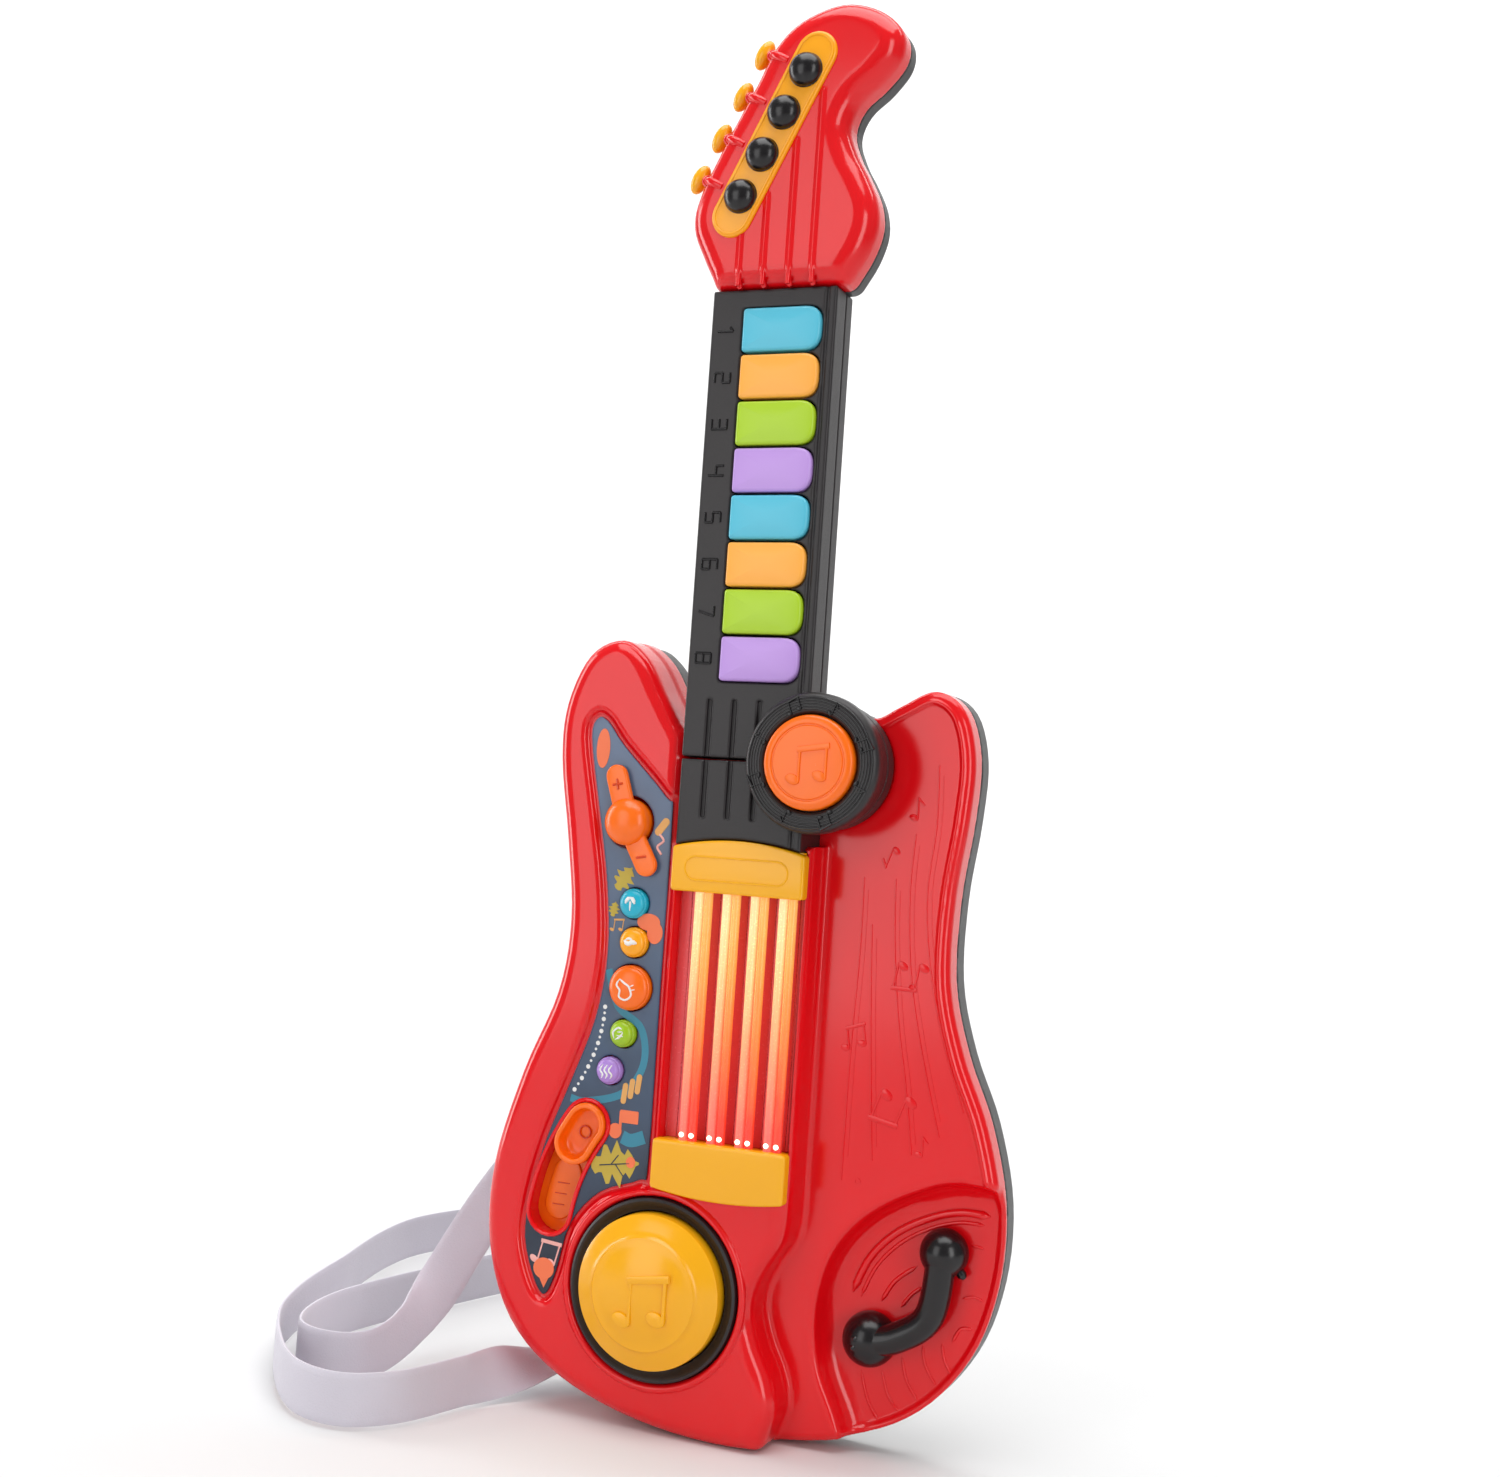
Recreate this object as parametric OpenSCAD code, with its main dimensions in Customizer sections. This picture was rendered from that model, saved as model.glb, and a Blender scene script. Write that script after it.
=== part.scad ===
// Toy electric guitar whose neck folds down beside the strings and becomes a small keyboard.
// Every module draws the guitar lying on its back: X across, Y along the neck, Z out of the front.
// upright() then stands it up. The hub that the neck turns on is at X = 0, Y = 0.

/* [Body] */
// Height of the raised front above the flat back
face_t = 43; // [42:1:45]
// Height of the bed that the folded neck lies on
bed_t = 24; // [23:0.5:24]
// Height of the dished floor under the whammy bar
dish_t = 13; // [12.5:0.5:13.5]
// Height of the seam between the back shell and the front shell
seam_t = 12; // [11:0.5:12]
// Wall thickness of the shells
wall = 2.4; // [2:0.1:2.8]

/* [Neck] */
// Height of the neck's back above the flat back of the body
neck_back_t = 27; // [26.5:0.5:27]
// Height of the neck's playing face
neck_face_t = 46; // [45:0.5:46]
// Height of the head's front
head_face_t = 50; // [49:0.5:51]
// Left edge of the neck
neck_left = -57; // [-58:0.5:-56]
// Right edge of the neck
neck_right = -4.5; // [-5:0.5:-4]
// Length of the neck from the hub to the head
neck_len = 186; // [185:1:187]

/* [Keys] */
// Distance between neighbouring keys
key_pitch = 18.6; // [18.4:0.1:18.7]
// Height of one key along the neck
key_h = 17.4; // [17:0.1:17.6]
// Width of one key across the neck
key_w = 33; // [32:0.5:34]
// How far a key goes down
key_travel = 2; // [1:0.5:2.5]

/* [Hub] */
// Radius of the black hub ring
hub_r = 27; // [26:0.5:27]
// Height of the hub ring's front
hub_t = 54; // [53.5:0.5:55]
// Radius of the orange hub button
hub_button_r = 18.3; // [17:0.1:18.5]
// Radius of the fixed post that the neck turns on
post_r = 12; // [11:0.5:12.5]

/* [Drum button] */
// Radius of the yellow drum button
drum_r = 30; // [28:0.5:30.5]
// How far the drum button goes down
drum_travel = 3; // [1:0.5:3.5]

/* [Strap] */
// Width of the webbing
strap_w = 20; // [18:1:20]
// Thickness of the webbing
strap_th = 1.6; // [1.2:0.1:2]

/* [Hidden] */
$fn = 48;
EPS = 0.01;
GAP = 0.5;          // clearance between a moving button and its hole
RUN = 0.05;         // radial clearance of a turning fit
POST_TOP = 46.2;    // the post ends just above the neck's face
HUB_TRAVEL = 2;     // how far the hub button goes down
KNUCKLE_R = 25;     // disc on the neck's lower end, round the post
STUB_LOW = -31.5;   // lower end of the fixed part of the neck
WELL_X = [-57, -3.5];   // the string well's side walls
WELL_T = 36;        // floor of the string well
STRING_X = [-44.5, -32.7, -20.9, -9.1];
KEY_X = -43;        // left edge of the keys
KEY_TOP = 178.2;    // upper edge of the first key
KEYS = 8;
PANEL_T = 41.6;     // face of the printed panel in its recess
DRUM = [-54.7, -207.7];
DRUM_FLOOR = 34;    // floor of the cup that the drum button sinks into
VOLUME = [-79.5, -27];
VOLUME_TILT = 24;   // lean of the volume bar
SMALL_BUTTONS = [[-74.7, -59.1, 5.9], [-73.5, -74.4, 5.9], [-73.8, -92.4, 8.9],
    [-75.5, -110.6, 5.4], [-80.2, -125.7, 5.4]];
SLIDE_C = [-18.5, -195.8];  // centre of the curved switch slot
SLIDE_R = 85;
SLIDE_A0 = 139.6;   // angle of the slot's upper end, measured at its centre
SLIDE_A1 = 178;     // angle of the slot's lower end
SLIDE_KNOB = 15.5;  // angle that the knob covers
SLIDE_HALF = 9;     // half the slot's width
WHAMMY = [26.2, -219.1];
WHAMMY_END = [53.9, -182.1];
SPEAKER = [-92, -187];
BATTERY = [-96, -40];       // corner of the battery box
BATTERY_BOX = [62, 56];
AA_R = 7.1;
AA_L = 50;
SCREWS = [[-100, 28], [44, 18], [43, -60], [-118, -204], [62, -130], [-20, -252], [-84, -122]];
STRAP_PINS = [[0, 0, -38], [-66, -234, -64]];  // place and turn of the two strap pins
PIN_T = 4.5;        // height of a strap pin above the back

RED = [0.86, 0.05, 0.08];
BLACK = [0.13, 0.12, 0.13];
YELLOW = [0.98, 0.7, 0.06];
ORANGE = [1, 0.42, 0.05];
KEY_COLORS = [[0.36, 0.76, 0.86], [1, 0.7, 0.28], [0.66, 0.8, 0.2], [0.74, 0.6, 0.84]];
BUTTON_COLORS = [[0.1, 0.7, 0.8], [1, 0.68, 0.05], ORANGE, [0.55, 0.75, 0.1], [0.66, 0.5, 0.8]];

// Outlines: points that a smooth closed curve passes through
BODY_PTS = [[-90, 46.5], [-78, 39], [-68, 23], [-58, 9.5], [-42, 7], [-26, 12], [-12, 20],
    [2, 23], [14, 20], [24, 25], [38, 31.5], [50, 24.5], [55.5, 6], [54.6, -18], [51, -48],
    [51, -80], [58, -107], [69, -133], [76, -163], [75, -193], [66, -220.5], [47, -243.5],
    [20, -257], [-20, -263], [-60, -260], [-95, -249], [-119, -230], [-131, -201],
    [-131.3, -168], [-121, -130], [-108, -97], [-104.6, -68], [-108.5, -36], [-114, -3],
    [-113, 20], [-104, 40]];
HEAD_PTS = [[-52, 170], [-57, 187], [-63, 199], [-68.5, 212], [-67, 225], [-57, 247], [-46, 268],
    [-38, 284], [-27, 294], [-10, 299], [5, 295], [14.5, 286], [15, 276], [8, 266.5], [-1, 258.5],
    [-4.5, 249], [-1.5, 239], [4, 229], [8.5, 219], [9.5, 209], [6, 198], [-1, 186], [-8, 170]];
PANEL_PTS = [[-97, 14.5], [-92, 13], [-84, 3.5], [-64, -16], [-60.8, -24], [-60.8, -90],
    [-60.8, -160], [-64, -167], [-81, -174], [-93, -188], [-98, -208], [-102.5, -217.5],
    [-108, -212], [-113.5, -196], [-112.5, -178], [-107, -156], [-98, -132], [-89, -106],
    [-85.6, -80], [-88, -52], [-93.5, -24], [-99.5, 6]];
DISH_PTS = [[90, -158], [61, -154.5], [42, -160.5], [25, -171], [13.5, -184], [7.5, -199],
    [6, -216], [9, -233], [17, -250], [24, -270]];
WALL_PTS = [[-1.5, -172], [-3, -183], [-9, -193], [-13.5, -203], [-14, -213], [-10.5, -224],
    [-5, -235], [-2.5, -246], [-5, -256], [-10, -270]];
// Route of the strap's middle line, from the upper pin round two loose loops to the lower pin
STRAP_PTS = [[0, -1.5, 0], [-5, 2.2, -6.4], [-20, 4, -26], [-60, 10, -74], [-100, 11, -122], [-134, 9, -164],
    [-158, 4, -200], [-171, -8, -231], [-173, -30, -246], [-177, -51, -251.5],
    [-191, -61, -251.5], [-208, -54, -251.5], [-218, -34, -251.5], [-222, -8, -251.5],
    [-219, 22, -251.5],
    [-212, 58, -251.5], [-202, 100, -251.5], [-190, 140, -251.5], [-184, 172, -251.5],
    [-196, 200, -251.5], [-222, 212, -251.5], [-250, 200, -251.5], [-268, 172, -251.5],
    [-276, 136, -251.5], [-270, 94, -251.5], [-257, 48, -251.5], [-245, 2, -251.5],
    [-228, -40, -251.5], [-202, -76, -251.5], [-176, -100, -251.5], [-152, -104, -251.5],
    [-136, -88, -251.5], [-128, -62, -251.5], [-120, -34, -251.5], [-108, -10, -250],
    [-90, 5, -246], [-73.5, 2.4, -237.7], [-66, -1.5, -234]];

function bend(a, b, c, d, t) = 0.5 * (2 * b + (c - a) * t + (2 * a - 5 * b + 4 * c - d) * t * t
    + (3 * b - a - 3 * c + d) * t * t * t);
function loop(p, n = 4) = [for (i = [0 : len(p) - 1], k = [0 : n - 1])
    bend(p[(i + len(p) - 1) % len(p)], p[i], p[(i + 1) % len(p)], p[(i + 2) % len(p)], k / n)];
function path(p, n = 4) = [for (i = [0 : len(p) - 2], k = [0 : n - (i == len(p) - 2 ? 0 : 1)])
    bend(p[max(i - 1, 0)], p[i], p[i + 1], p[min(i + 2, len(p) - 1)], k / n)];
function unit(v) = v / norm(v);
// Moves each point of a clockwise outline inwards by d
function inset(p, d) = [for (i = [0 : len(p) - 1])
    let (t = unit(p[(i + 1) % len(p)] - p[(i + len(p) - 1) % len(p)])) p[i] + d * [t[1], -t[0]]];
function polar(r, a) = r * [cos(a), sin(a)];
function key_y(i) = KEY_TOP - key_h - i * key_pitch;

BODY = loop(BODY_PTS);
HEAD = path(HEAD_PTS);   // open at the neck's end, where head_trim cuts it off
PANEL = loop(PANEL_PTS, 3);
WALL_LINE = path(WALL_PTS, 3);
// Region right of the raised front
BED = concat([[neck_left - 0.8, 60], [neck_left - 0.8, STUB_LOW - 0.3], [-1.5, STUB_LOW - 0.3]],
    WALL_LINE, [[150, -270], [150, 60]]);
DISH = concat(path(DISH_PTS, 3), [[100, -270]]);
STRAP = path(STRAP_PTS, 2);
WHAMMY_ARM = path([WHAMMY, WHAMMY + [13, 3.5], [50.5, -205.5], WHAMMY_END], 2);

module upright() {
    rotate([90, 0, 0]) children();
}

module prism(points, low, high) {
    translate([0, 0, low]) linear_extrude(high - low) polygon(points);
}

module block(from, to) {
    translate(from) cube(to - from);
}

module disc(p, r, low, high) {
    translate([p[0], p[1], low]) cylinder(h = high - low, r = r);
}

// A flat bar with round ends from a to b
module bar(a, b, r, low, high) {
    d = b - a;
    disc(a, r, low, high);
    disc(b, r, low, high);
    translate([a[0], a[1], low]) rotate(atan2(d[1], d[0])) translate([0, -r, 0])
        cube([norm(d), 2 * r, high - low]);
}

// A low dome of base radius r and height h
module dome(p, r, low, h) {
    ball = (r * r + h * h) / (2 * h);
    intersection() {
        translate([p[0], p[1], low + h - ball]) sphere(ball, $fn = 180);
        disc(p, r, low, low + 2 * h);
    }
}

// A part of the ring between two radii, from angle a to angle b about a centre
module sector(c, r0, r1, a, b, low, high) {
    n = 12;
    arc = [for (i = [0 : n]) a + (b - a) * i / n];
    prism(concat([for (t = arc) c + polar(r1, t)], [for (i = [0 : n]) c + polar(r0, arc[n - i])]),
        low, high);
}

// The curved slot of the power switch, grown by g
module slot(g, low, high, a = SLIDE_A0, b = SLIDE_A1) {
    end = (SLIDE_HALF / SLIDE_R) * 180 / PI;
    sector(SLIDE_C, SLIDE_R - SLIDE_HALF - g, SLIDE_R + SLIDE_HALF + g, a + end, b - end, low, high);
    for (t = [a + end, b - end]) disc(SLIDE_C + polar(SLIDE_R, t), SLIDE_HALF + g, low, high);
}

module coil(r, wire, low, high, turns) {
    for (i = [0 : turns - 1])
        translate([0, 0, low + wire + (high - low - 2 * wire) * i / (turns - 1)])
            rotate_extrude($fn = 32) translate([r, 0]) circle(wire, $fn = 16);
}

module screw(p, low, length) {
    disc(p, 2.9, low, low + 2);
    disc(p, 1.4, low + 2, low + length);
}

module front_shell() color(RED) upright() difference() {
    union() {
        prism(BODY, seam_t, bed_t);
        intersection() {
            union() {
                prism(BODY, bed_t - EPS, face_t - 8);
                prism(inset(BODY, 1.2), bed_t, face_t - 4.5);
                prism(inset(BODY, 3.2), bed_t, face_t - 2);
                prism(inset(BODY, 6.5), bed_t, face_t);
            }
            difference() {
                block([-200, -300, bed_t - 1], [100, 80, face_t + 1]);
                prism(BED, bed_t, face_t + 2);
            }
        }
        intersection() {
            prism(inset(BODY, wall + 0.5), dish_t - 2, bed_t - 1);
            prism(concat(inset(DISH, -wall), [[110, -280]]), dish_t - 3, bed_t);
        }
    }
    // Hollow under the bed
    difference() {
        prism(inset(BODY, wall), seam_t - 1, bed_t - wall);
        prism(concat(inset(DISH, -wall), [[110, -280]]), seam_t - 2, bed_t);
    }
    // Dished floor of the whammy bar
    intersection() {
        prism(inset(BODY, 2.2), dish_t, bed_t + 1);
        prism(DISH, dish_t - 1, bed_t + 2);
    }
    prism(concat(DISH, [[110, -280]]), bed_t - 3, bed_t + 2);
    // Hollow under the raised front
    difference() {
        prism(inset(BODY, wall + 3.4), bed_t - wall - 1, face_t - wall);
        prism(inset(BED, -wall), bed_t - wall - 2, face_t + 1);
        prism(inset(PANEL, -2), PANEL_T - 3, face_t);
        block([WELL_X[0] - 2, -171, WELL_T - 2], [WELL_X[1] + 2, STUB_LOW, face_t]);
    }
    prism(PANEL, PANEL_T - 1, face_t + 1);
    disc(VOLUME, 11, face_t - 6, face_t);
    for (b = SMALL_BUTTONS) disc([b[0], b[1]], b[2] + GAP, face_t - 6, face_t);
    slot(0.6, face_t - 6, face_t);
    disc(DRUM, drum_r + 5.9, face_t - 6, face_t + 1);
    block([WELL_X[0], -167, WELL_T], [WELL_X[1], STUB_LOW - 2, face_t + 1]);
    disc(WHAMMY, 4, seam_t - 4, dish_t + 1);
    disc([0, 0], 9, seam_t, bed_t + 1);
}

module back_shell() color([0.2, 0.2, 0.21]) upright() difference() {
    union() {
        prism(inset(BODY, 1.6), 0, 2);
        prism(BODY, 2, seam_t - 0.3);
    }
    difference() {
        prism(inset(BODY, wall), wall, seam_t);
        for (p = STRAP_PINS) translate([p[0], p[1], 0]) rotate(p[2])
            block([-17, -12, 0], [17, 12, 9.3]);
        for (p = SCREWS) disc(p, 4, 0, seam_t + 2);
    }
    for (p = STRAP_PINS) translate([p[0], p[1], 0]) rotate(p[2]) {
        block([-13, -8, -1], [13, 8, 7.5]);
        translate([-15, 0, PIN_T]) rotate([0, 90, 0]) cylinder(h = 30, r = 1.85);
    }
    for (p = SCREWS) {
        disc(p, 3.1, -1, 3);
        disc(p, 1.7, 0, 20);
    }
    translate([BATTERY[0], BATTERY[1], 0]) block([0, -BATTERY_BOX[1], -1], [BATTERY_BOX[0], 0, 4]);
    for (a = [0 : 60 : 300], r = [5, 12]) disc(SPEAKER + polar(r, a + r), 1.7, -1, 4);
    disc(SPEAKER, 1.7, -1, 4);
}

module battery_door() color([0.2, 0.2, 0.21]) upright() difference() {
    translate([BATTERY[0], BATTERY[1], 0])
        block([0.3, 0.3 - BATTERY_BOX[1], 0], [BATTERY_BOX[0] - 0.3, -0.3, 2.2]);
    disc(BATTERY + [BATTERY_BOX[0] / 2, -4.5], 1.6, -1, 4);
    for (i = [0 : 4]) translate([BATTERY[0] + 10 + i * 10, BATTERY[1] - 50, -EPS])
        cube([4, 34, 0.6]);
}

module battery_cells() upright() for (i = [0 : 2])
    translate([BATTERY[0] + 12 + i * 16.5, BATTERY[1] - BATTERY_BOX[1] + 3, 10.6])
        rotate([-90, 0, 0]) {
            color("dimgray") cylinder(h = AA_L - 1.5, r = AA_R);
            color("silver") translate([0, 0, AA_L - 1.5]) cylinder(h = 1.5, r = 2.7);
        }

module battery_contacts() color("silver") upright() for (i = [0 : 2])
    translate([BATTERY[0] + 12 + i * 16.5, BATTERY[1] - BATTERY_BOX[1], 10.6]) {
        translate([-5, 0.6, -5]) cube([10, 0.5, 10]);
        translate([-5, 53.4, -5]) cube([10, 0.5, 10]);
        translate([0, 1.1, 0]) rotate([-90, 0, 0]) coil(3.2, 0.35, 0, 1.85, 2);
    }

module speaker() color([0.25, 0.25, 0.27]) upright() difference() {
    union() {
        disc(SPEAKER, 20, 3, 6);
        translate([SPEAKER[0], SPEAKER[1], 6]) cylinder(h = 9, r1 = 18, r2 = 9);
        disc(SPEAKER, 11, 14, 20);
    }
    translate([SPEAKER[0], SPEAKER[1], 2]) cylinder(h = 6, r1 = 17, r2 = 9);
}

module main_board() color([0.1, 0.4, 0.18]) upright() difference() {
    union() {
        block([-96, -100, 28], [-63, -50, 29.6]);
        block([-92, -92, 29.6], [-80, -80, 31]);
        block([-78, -90, 29.6], [-72, -84, 32]);
    }
    disc([-84, -122], 3, 20, 40);
}

module panel_label() color([0.25, 0.35, 0.45]) upright() difference() {
    prism(inset(PANEL, 0.3), PANEL_T - 1, PANEL_T);
    disc(VOLUME, 11, PANEL_T - 2, PANEL_T + 1);
    for (b = SMALL_BUTTONS) disc([b[0], b[1]], b[2] + GAP, PANEL_T - 2, PANEL_T + 1);
    slot(0.6, PANEL_T - 2, PANEL_T + 1);
}

module block_upper() color(YELLOW) upright() difference() {
    union() {
        block([WELL_X[0] + 0.3, -52, WELL_T + 0.2], [WELL_X[1] - 0.3, STUB_LOW - 2.5, face_t + 0.5]);
        intersection() {
            block([-57.4, -52.5, face_t + 0.2], [-1.8, STUB_LOW + 0.1, 47.5]);
            disc([-30, -135], 103.3, face_t, 48);
        }
    }
    block([-54, -53, 35], [-4.6, -36, 45]);
    bar([-47, -43], [-13, -43], 3.6, 47, 48);
}

module block_lower() color(YELLOW) upright() difference() {
    union() {
        block([WELL_X[0] + 0.3, -166.5, WELL_T + 0.2], [WELL_X[1] - 0.3, -149, face_t + 0.5]);
        intersection() {
            block([-57.4, -171, face_t + 0.2], [-1.8, -148.5, 47.5]);
            disc([-30, -68], 101.5, face_t, 48);
        }
    }
    block([-54, -164, 35], [-4.6, -147, 45]);
}

module light_strings() color([1, 0.75, 0.45, 0.6]) upright() for (x = STRING_X, s = [-1, 1])
    translate([x + 2.05 * s, -155, 42.6]) rotate([-90, 0, 0]) cylinder(h = 113, r = 2);

module light_board() color([0.1, 0.4, 0.18]) upright() {
    block([-53, -163, 38], [-7, -159, 44.8]);
    for (x = STRING_X, s = [-1, 1]) block([x + 2.05 * s - 1.4, -159, 41.2], [x + 2.05 * s + 1.4, -155.4, 44]);
}

// Fixed lower part of the neck, hollowed round the hub
module neck_stub() color(BLACK) upright() difference() {
    block([neck_left, STUB_LOW + 0.4, bed_t], [neck_right, -GAP, neck_face_t]);
    block([neck_left + 2, STUB_LOW + 2.4, bed_t - 1], [neck_right - 2, -GAP - 2, neck_face_t - 2.4]);
    disc([0, 0], KNUCKLE_R + 0.6, bed_t - 1, neck_face_t + 1);
    for (x = [-46, -35.6, -25.2]) bar([x, -23], [x, 5], 0.8, neck_face_t - 1.2, neck_face_t + 1);
}

module pivot_post() color(BLACK) upright() difference() {
    union() {
        disc([0, 0], post_r + 8, bed_t, neck_back_t - 0.3);
        disc([0, 0], post_r, bed_t, POST_TOP + 0.3);
    }
    disc([0, 0], 8.5, bed_t - 1, bed_t + 9);
    disc([0, 0], 5.6, bed_t + 11, POST_TOP + 1);
    for (a = [45 : 90 : 315]) disc(polar(8.8, a), 1, POST_TOP - 6, POST_TOP + 1);
}

module pivot_washer() color("silver") upright() difference() {
    union() {
        disc([0, 0], 16, POST_TOP + 0.3, POST_TOP + 1.4);
        for (a = [45 : 90 : 315]) disc(polar(8.8, a), 1.8, POST_TOP + 1.4, POST_TOP + 2.4);
    }
    disc([0, 0], 5.6, POST_TOP - 1, POST_TOP + 3);
}

module hub_ring() color(BLACK) upright() difference() {
    union() {
        disc([0, 0], hub_r, neck_face_t, hub_t - 0.8);
        disc([0, 0], hub_r - 0.8, hub_t - 1, hub_t);
    }
    disc([0, 0], hub_button_r + GAP, neck_face_t - 1, hub_t + 1);
    for (r = [20.5 : 1.2 : 25.3]) translate([0, 0, hub_t - 0.3]) difference() {
        cylinder(h = 1, r = r + 0.2);
        translate([0, 0, -1]) cylinder(h = 3, r = r - 0.2);
    }
}

module hub_button() color(ORANGE) upright() difference() {
    union() {
        disc([0, 0], hub_button_r, 51, 55.4);
        dome([0, 0], hub_button_r - 0.5, 55.3, 1.7);
        disc([0, 0], 5, 41, 52);
    }
    disc([0, 0], 3.4, 40, 49);
}

// The springs are drawn at the length they have when their button is down
module hub_spring() color("silver") upright() coil(2.4, 0.4, bed_t + 11, 48.9 - HUB_TRAVEL, 5);

module drum_ring() color(BLACK) upright() difference() {
    disc(DRUM, drum_r + 5.7, DRUM_FLOOR - 2, face_t + 1.5);
    disc(DRUM, drum_r + GAP, DRUM_FLOOR, face_t + 3);
    translate([DRUM[0], DRUM[1], face_t]) difference() {
        cylinder(h = 3, r = drum_r + 4.5);
        translate([0, 0, -1]) cylinder(h = 5, r = drum_r + 2.5);
    }
}

module drum_button() color(YELLOW) upright() difference() {
    union() {
        disc(DRUM, drum_r, face_t - 4.6, 49);
        dome(DRUM, drum_r - 0.4, 48.9, 6.6);
    }
    disc(DRUM, drum_r - 2.5, face_t - 5, 46.5);
}

module drum_spring() color("silver") upright() translate([DRUM[0], DRUM[1], 0])
    coil(9, 0.6, DRUM_FLOOR, 46.4 - drum_travel, 4);

module volume_rocker() color(ORANGE) upright() translate([VOLUME[0], VOLUME[1], 0]) {
    up = polar(19, 90 + VOLUME_TILT - 6);
    down = polar(19, VOLUME_TILT - 84);
    bar(up * 0.3, up, 4.2, PANEL_T + 1.5, PANEL_T + 3.3);
    bar(down * 0.3, down, 4.2, PANEL_T + 1.5, PANEL_T + 3.3);
    disc([0, 0], 9.3, PANEL_T - 3, PANEL_T + 3.7);
    dome([0, 0], 8.9, PANEL_T + 3.5, 4.4);
}

module sound_button(i) color(BUTTON_COLORS[i]) upright() {
    b = SMALL_BUTTONS[i];
    disc([b[0], b[1]], b[2], PANEL_T - 4, PANEL_T + 2);
    disc([b[0], b[1]], 2, PANEL_T - 8, PANEL_T - 3.9);
    dome([b[0], b[1]], b[2] - 0.3, PANEL_T + 1.9, 2 + b[2] * 0.1);
}

module slide_track() color(ORANGE) upright() {
    slot(2, 33.6, 35);
}

module power_slider() color(ORANGE) upright() difference() {
    slot(-0.4, 35.2, face_t + 1.5, SLIDE_A0, SLIDE_A0 + SLIDE_KNOB + 3);
    slot(-2.4, 38.5, face_t + 3, SLIDE_A0, SLIDE_A0 + SLIDE_KNOB + 3);
}

module whammy_bar() color(BLACK) upright() {
    difference() {
        translate([WHAMMY[0], WHAMMY[1], 15.6]) sphere(10.1, $fn = 64);
        block([0, -260, 0], [100, -170, dish_t + 0.4]);
    }
    disc(WHAMMY, 3.6, 4.2, dish_t + 2);
    for (k = [0 : 5]) hull() for (j = [k, k + 1])
        translate([WHAMMY_ARM[j][0], WHAMMY_ARM[j][1], 18.4]) sphere(4.7, $fn = 24);
    difference() {
        union() {
            translate([WHAMMY_END[0], WHAMMY_END[1], 16.8]) sphere(9.2, $fn = 64);
            bar(WHAMMY_END, WHAMMY_END + [7.5, -7.5], 1.8, dish_t, dish_t + 5);
        }
        block([0, -260, 0], [100, -160, dish_t + 0.4]);
    }
}

module whammy_spring() color("silver") upright() translate([WHAMMY[0], WHAMMY[1], 0])
    coil(4.8, 0.5, 4.6, dish_t - 2.2, 4);

module strap_pins() color("silver") upright() for (p = STRAP_PINS)
    translate([p[0], p[1], PIN_T]) rotate(p[2]) translate([-15, 0, 0])
        rotate([0, 90, 0]) cylinder(h = 30, r = 1.8);

// Direction of the webbing's width at ring i: upright on the floor, flat against the back
function strap_up(i) = let (n = len(STRAP) - 1, s = i / n,
        flat = max(0, min(1, (0.24 - s) / 0.1)), twist = max(0, min(1, (s - 0.88) / 0.06)),
        t = unit(STRAP[min(i + 1, n)] - STRAP[max(i - 1, 0)]), side = cross([0, 1, 0], t),
        w = (1 - flat) * (1 - twist) * [0, 0, 1] + flat * side - twist * side)
    unit(w - (w * t) * t);
module strap() color([0.8, 0.78, 0.82]) {
    n = len(STRAP);
    sec = [[-0.5, -0.3], [-0.48, -0.5], [0.48, -0.5], [0.5, -0.3], [0.5, 0.3], [0.48, 0.5],
        [-0.48, 0.5], [-0.5, 0.3]];
    m = len(sec);
    rings = [for (i = [0 : n - 1]) let (t = unit(STRAP[min(i + 1, n - 1)] - STRAP[max(i - 1, 0)]),
            u = strap_up(i), v = cross(t, u))
        for (q = sec) STRAP[i] + u * q[0] * strap_w + v * q[1] * strap_th];
    sides = [for (i = [0 : n - 2], k = [0 : m - 1], h = [0, 1]) let (a = i * m + k,
            b = i * m + (k + 1) % m) h == 0 ? [a, b + m, b] : [a, a + m, b + m]];
    ends = concat([for (k = [1 : m - 2]) [0, k, k + 1]],
        [for (k = [1 : m - 2]) [(n - 1) * m, (n - 1) * m + k + 1, (n - 1) * m + k]]);
    polyhedron(rings, concat(sides, ends));
}

// Outline of the folding part of the neck between two heights
module neck_slab(g, low, high) {
    block([neck_left + g, -g, low], [neck_right - g, neck_len - g, high]);
}

module neck_back() color(BLACK) upright() difference() {
    union() {
        block([neck_left, GAP, neck_back_t], [neck_right, neck_len, 35]);
        block([-47.5, neck_len - 3, 30.5], [-12.5, neck_len + 18, 35]);
        disc([0, 0], KNUCKLE_R, neck_back_t, 35);
    }
    block([neck_left + 2, 29, neck_back_t + 2], [neck_right - 2, neck_len - 3, 36]);
    block([neck_left + 2, GAP + 2, neck_back_t + 2], [-28, 27, 36]);
    disc([0, 0], post_r + RUN, neck_back_t - 1, 36);
    disc([0, 0], post_r + 9, neck_back_t - 1, neck_back_t + 0.5);
    for (y = [14, 100, 176]) disc([-30 - (y == 14 ? 12 : 0), y], 1.6, neck_back_t - 1, 36);
}

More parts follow.
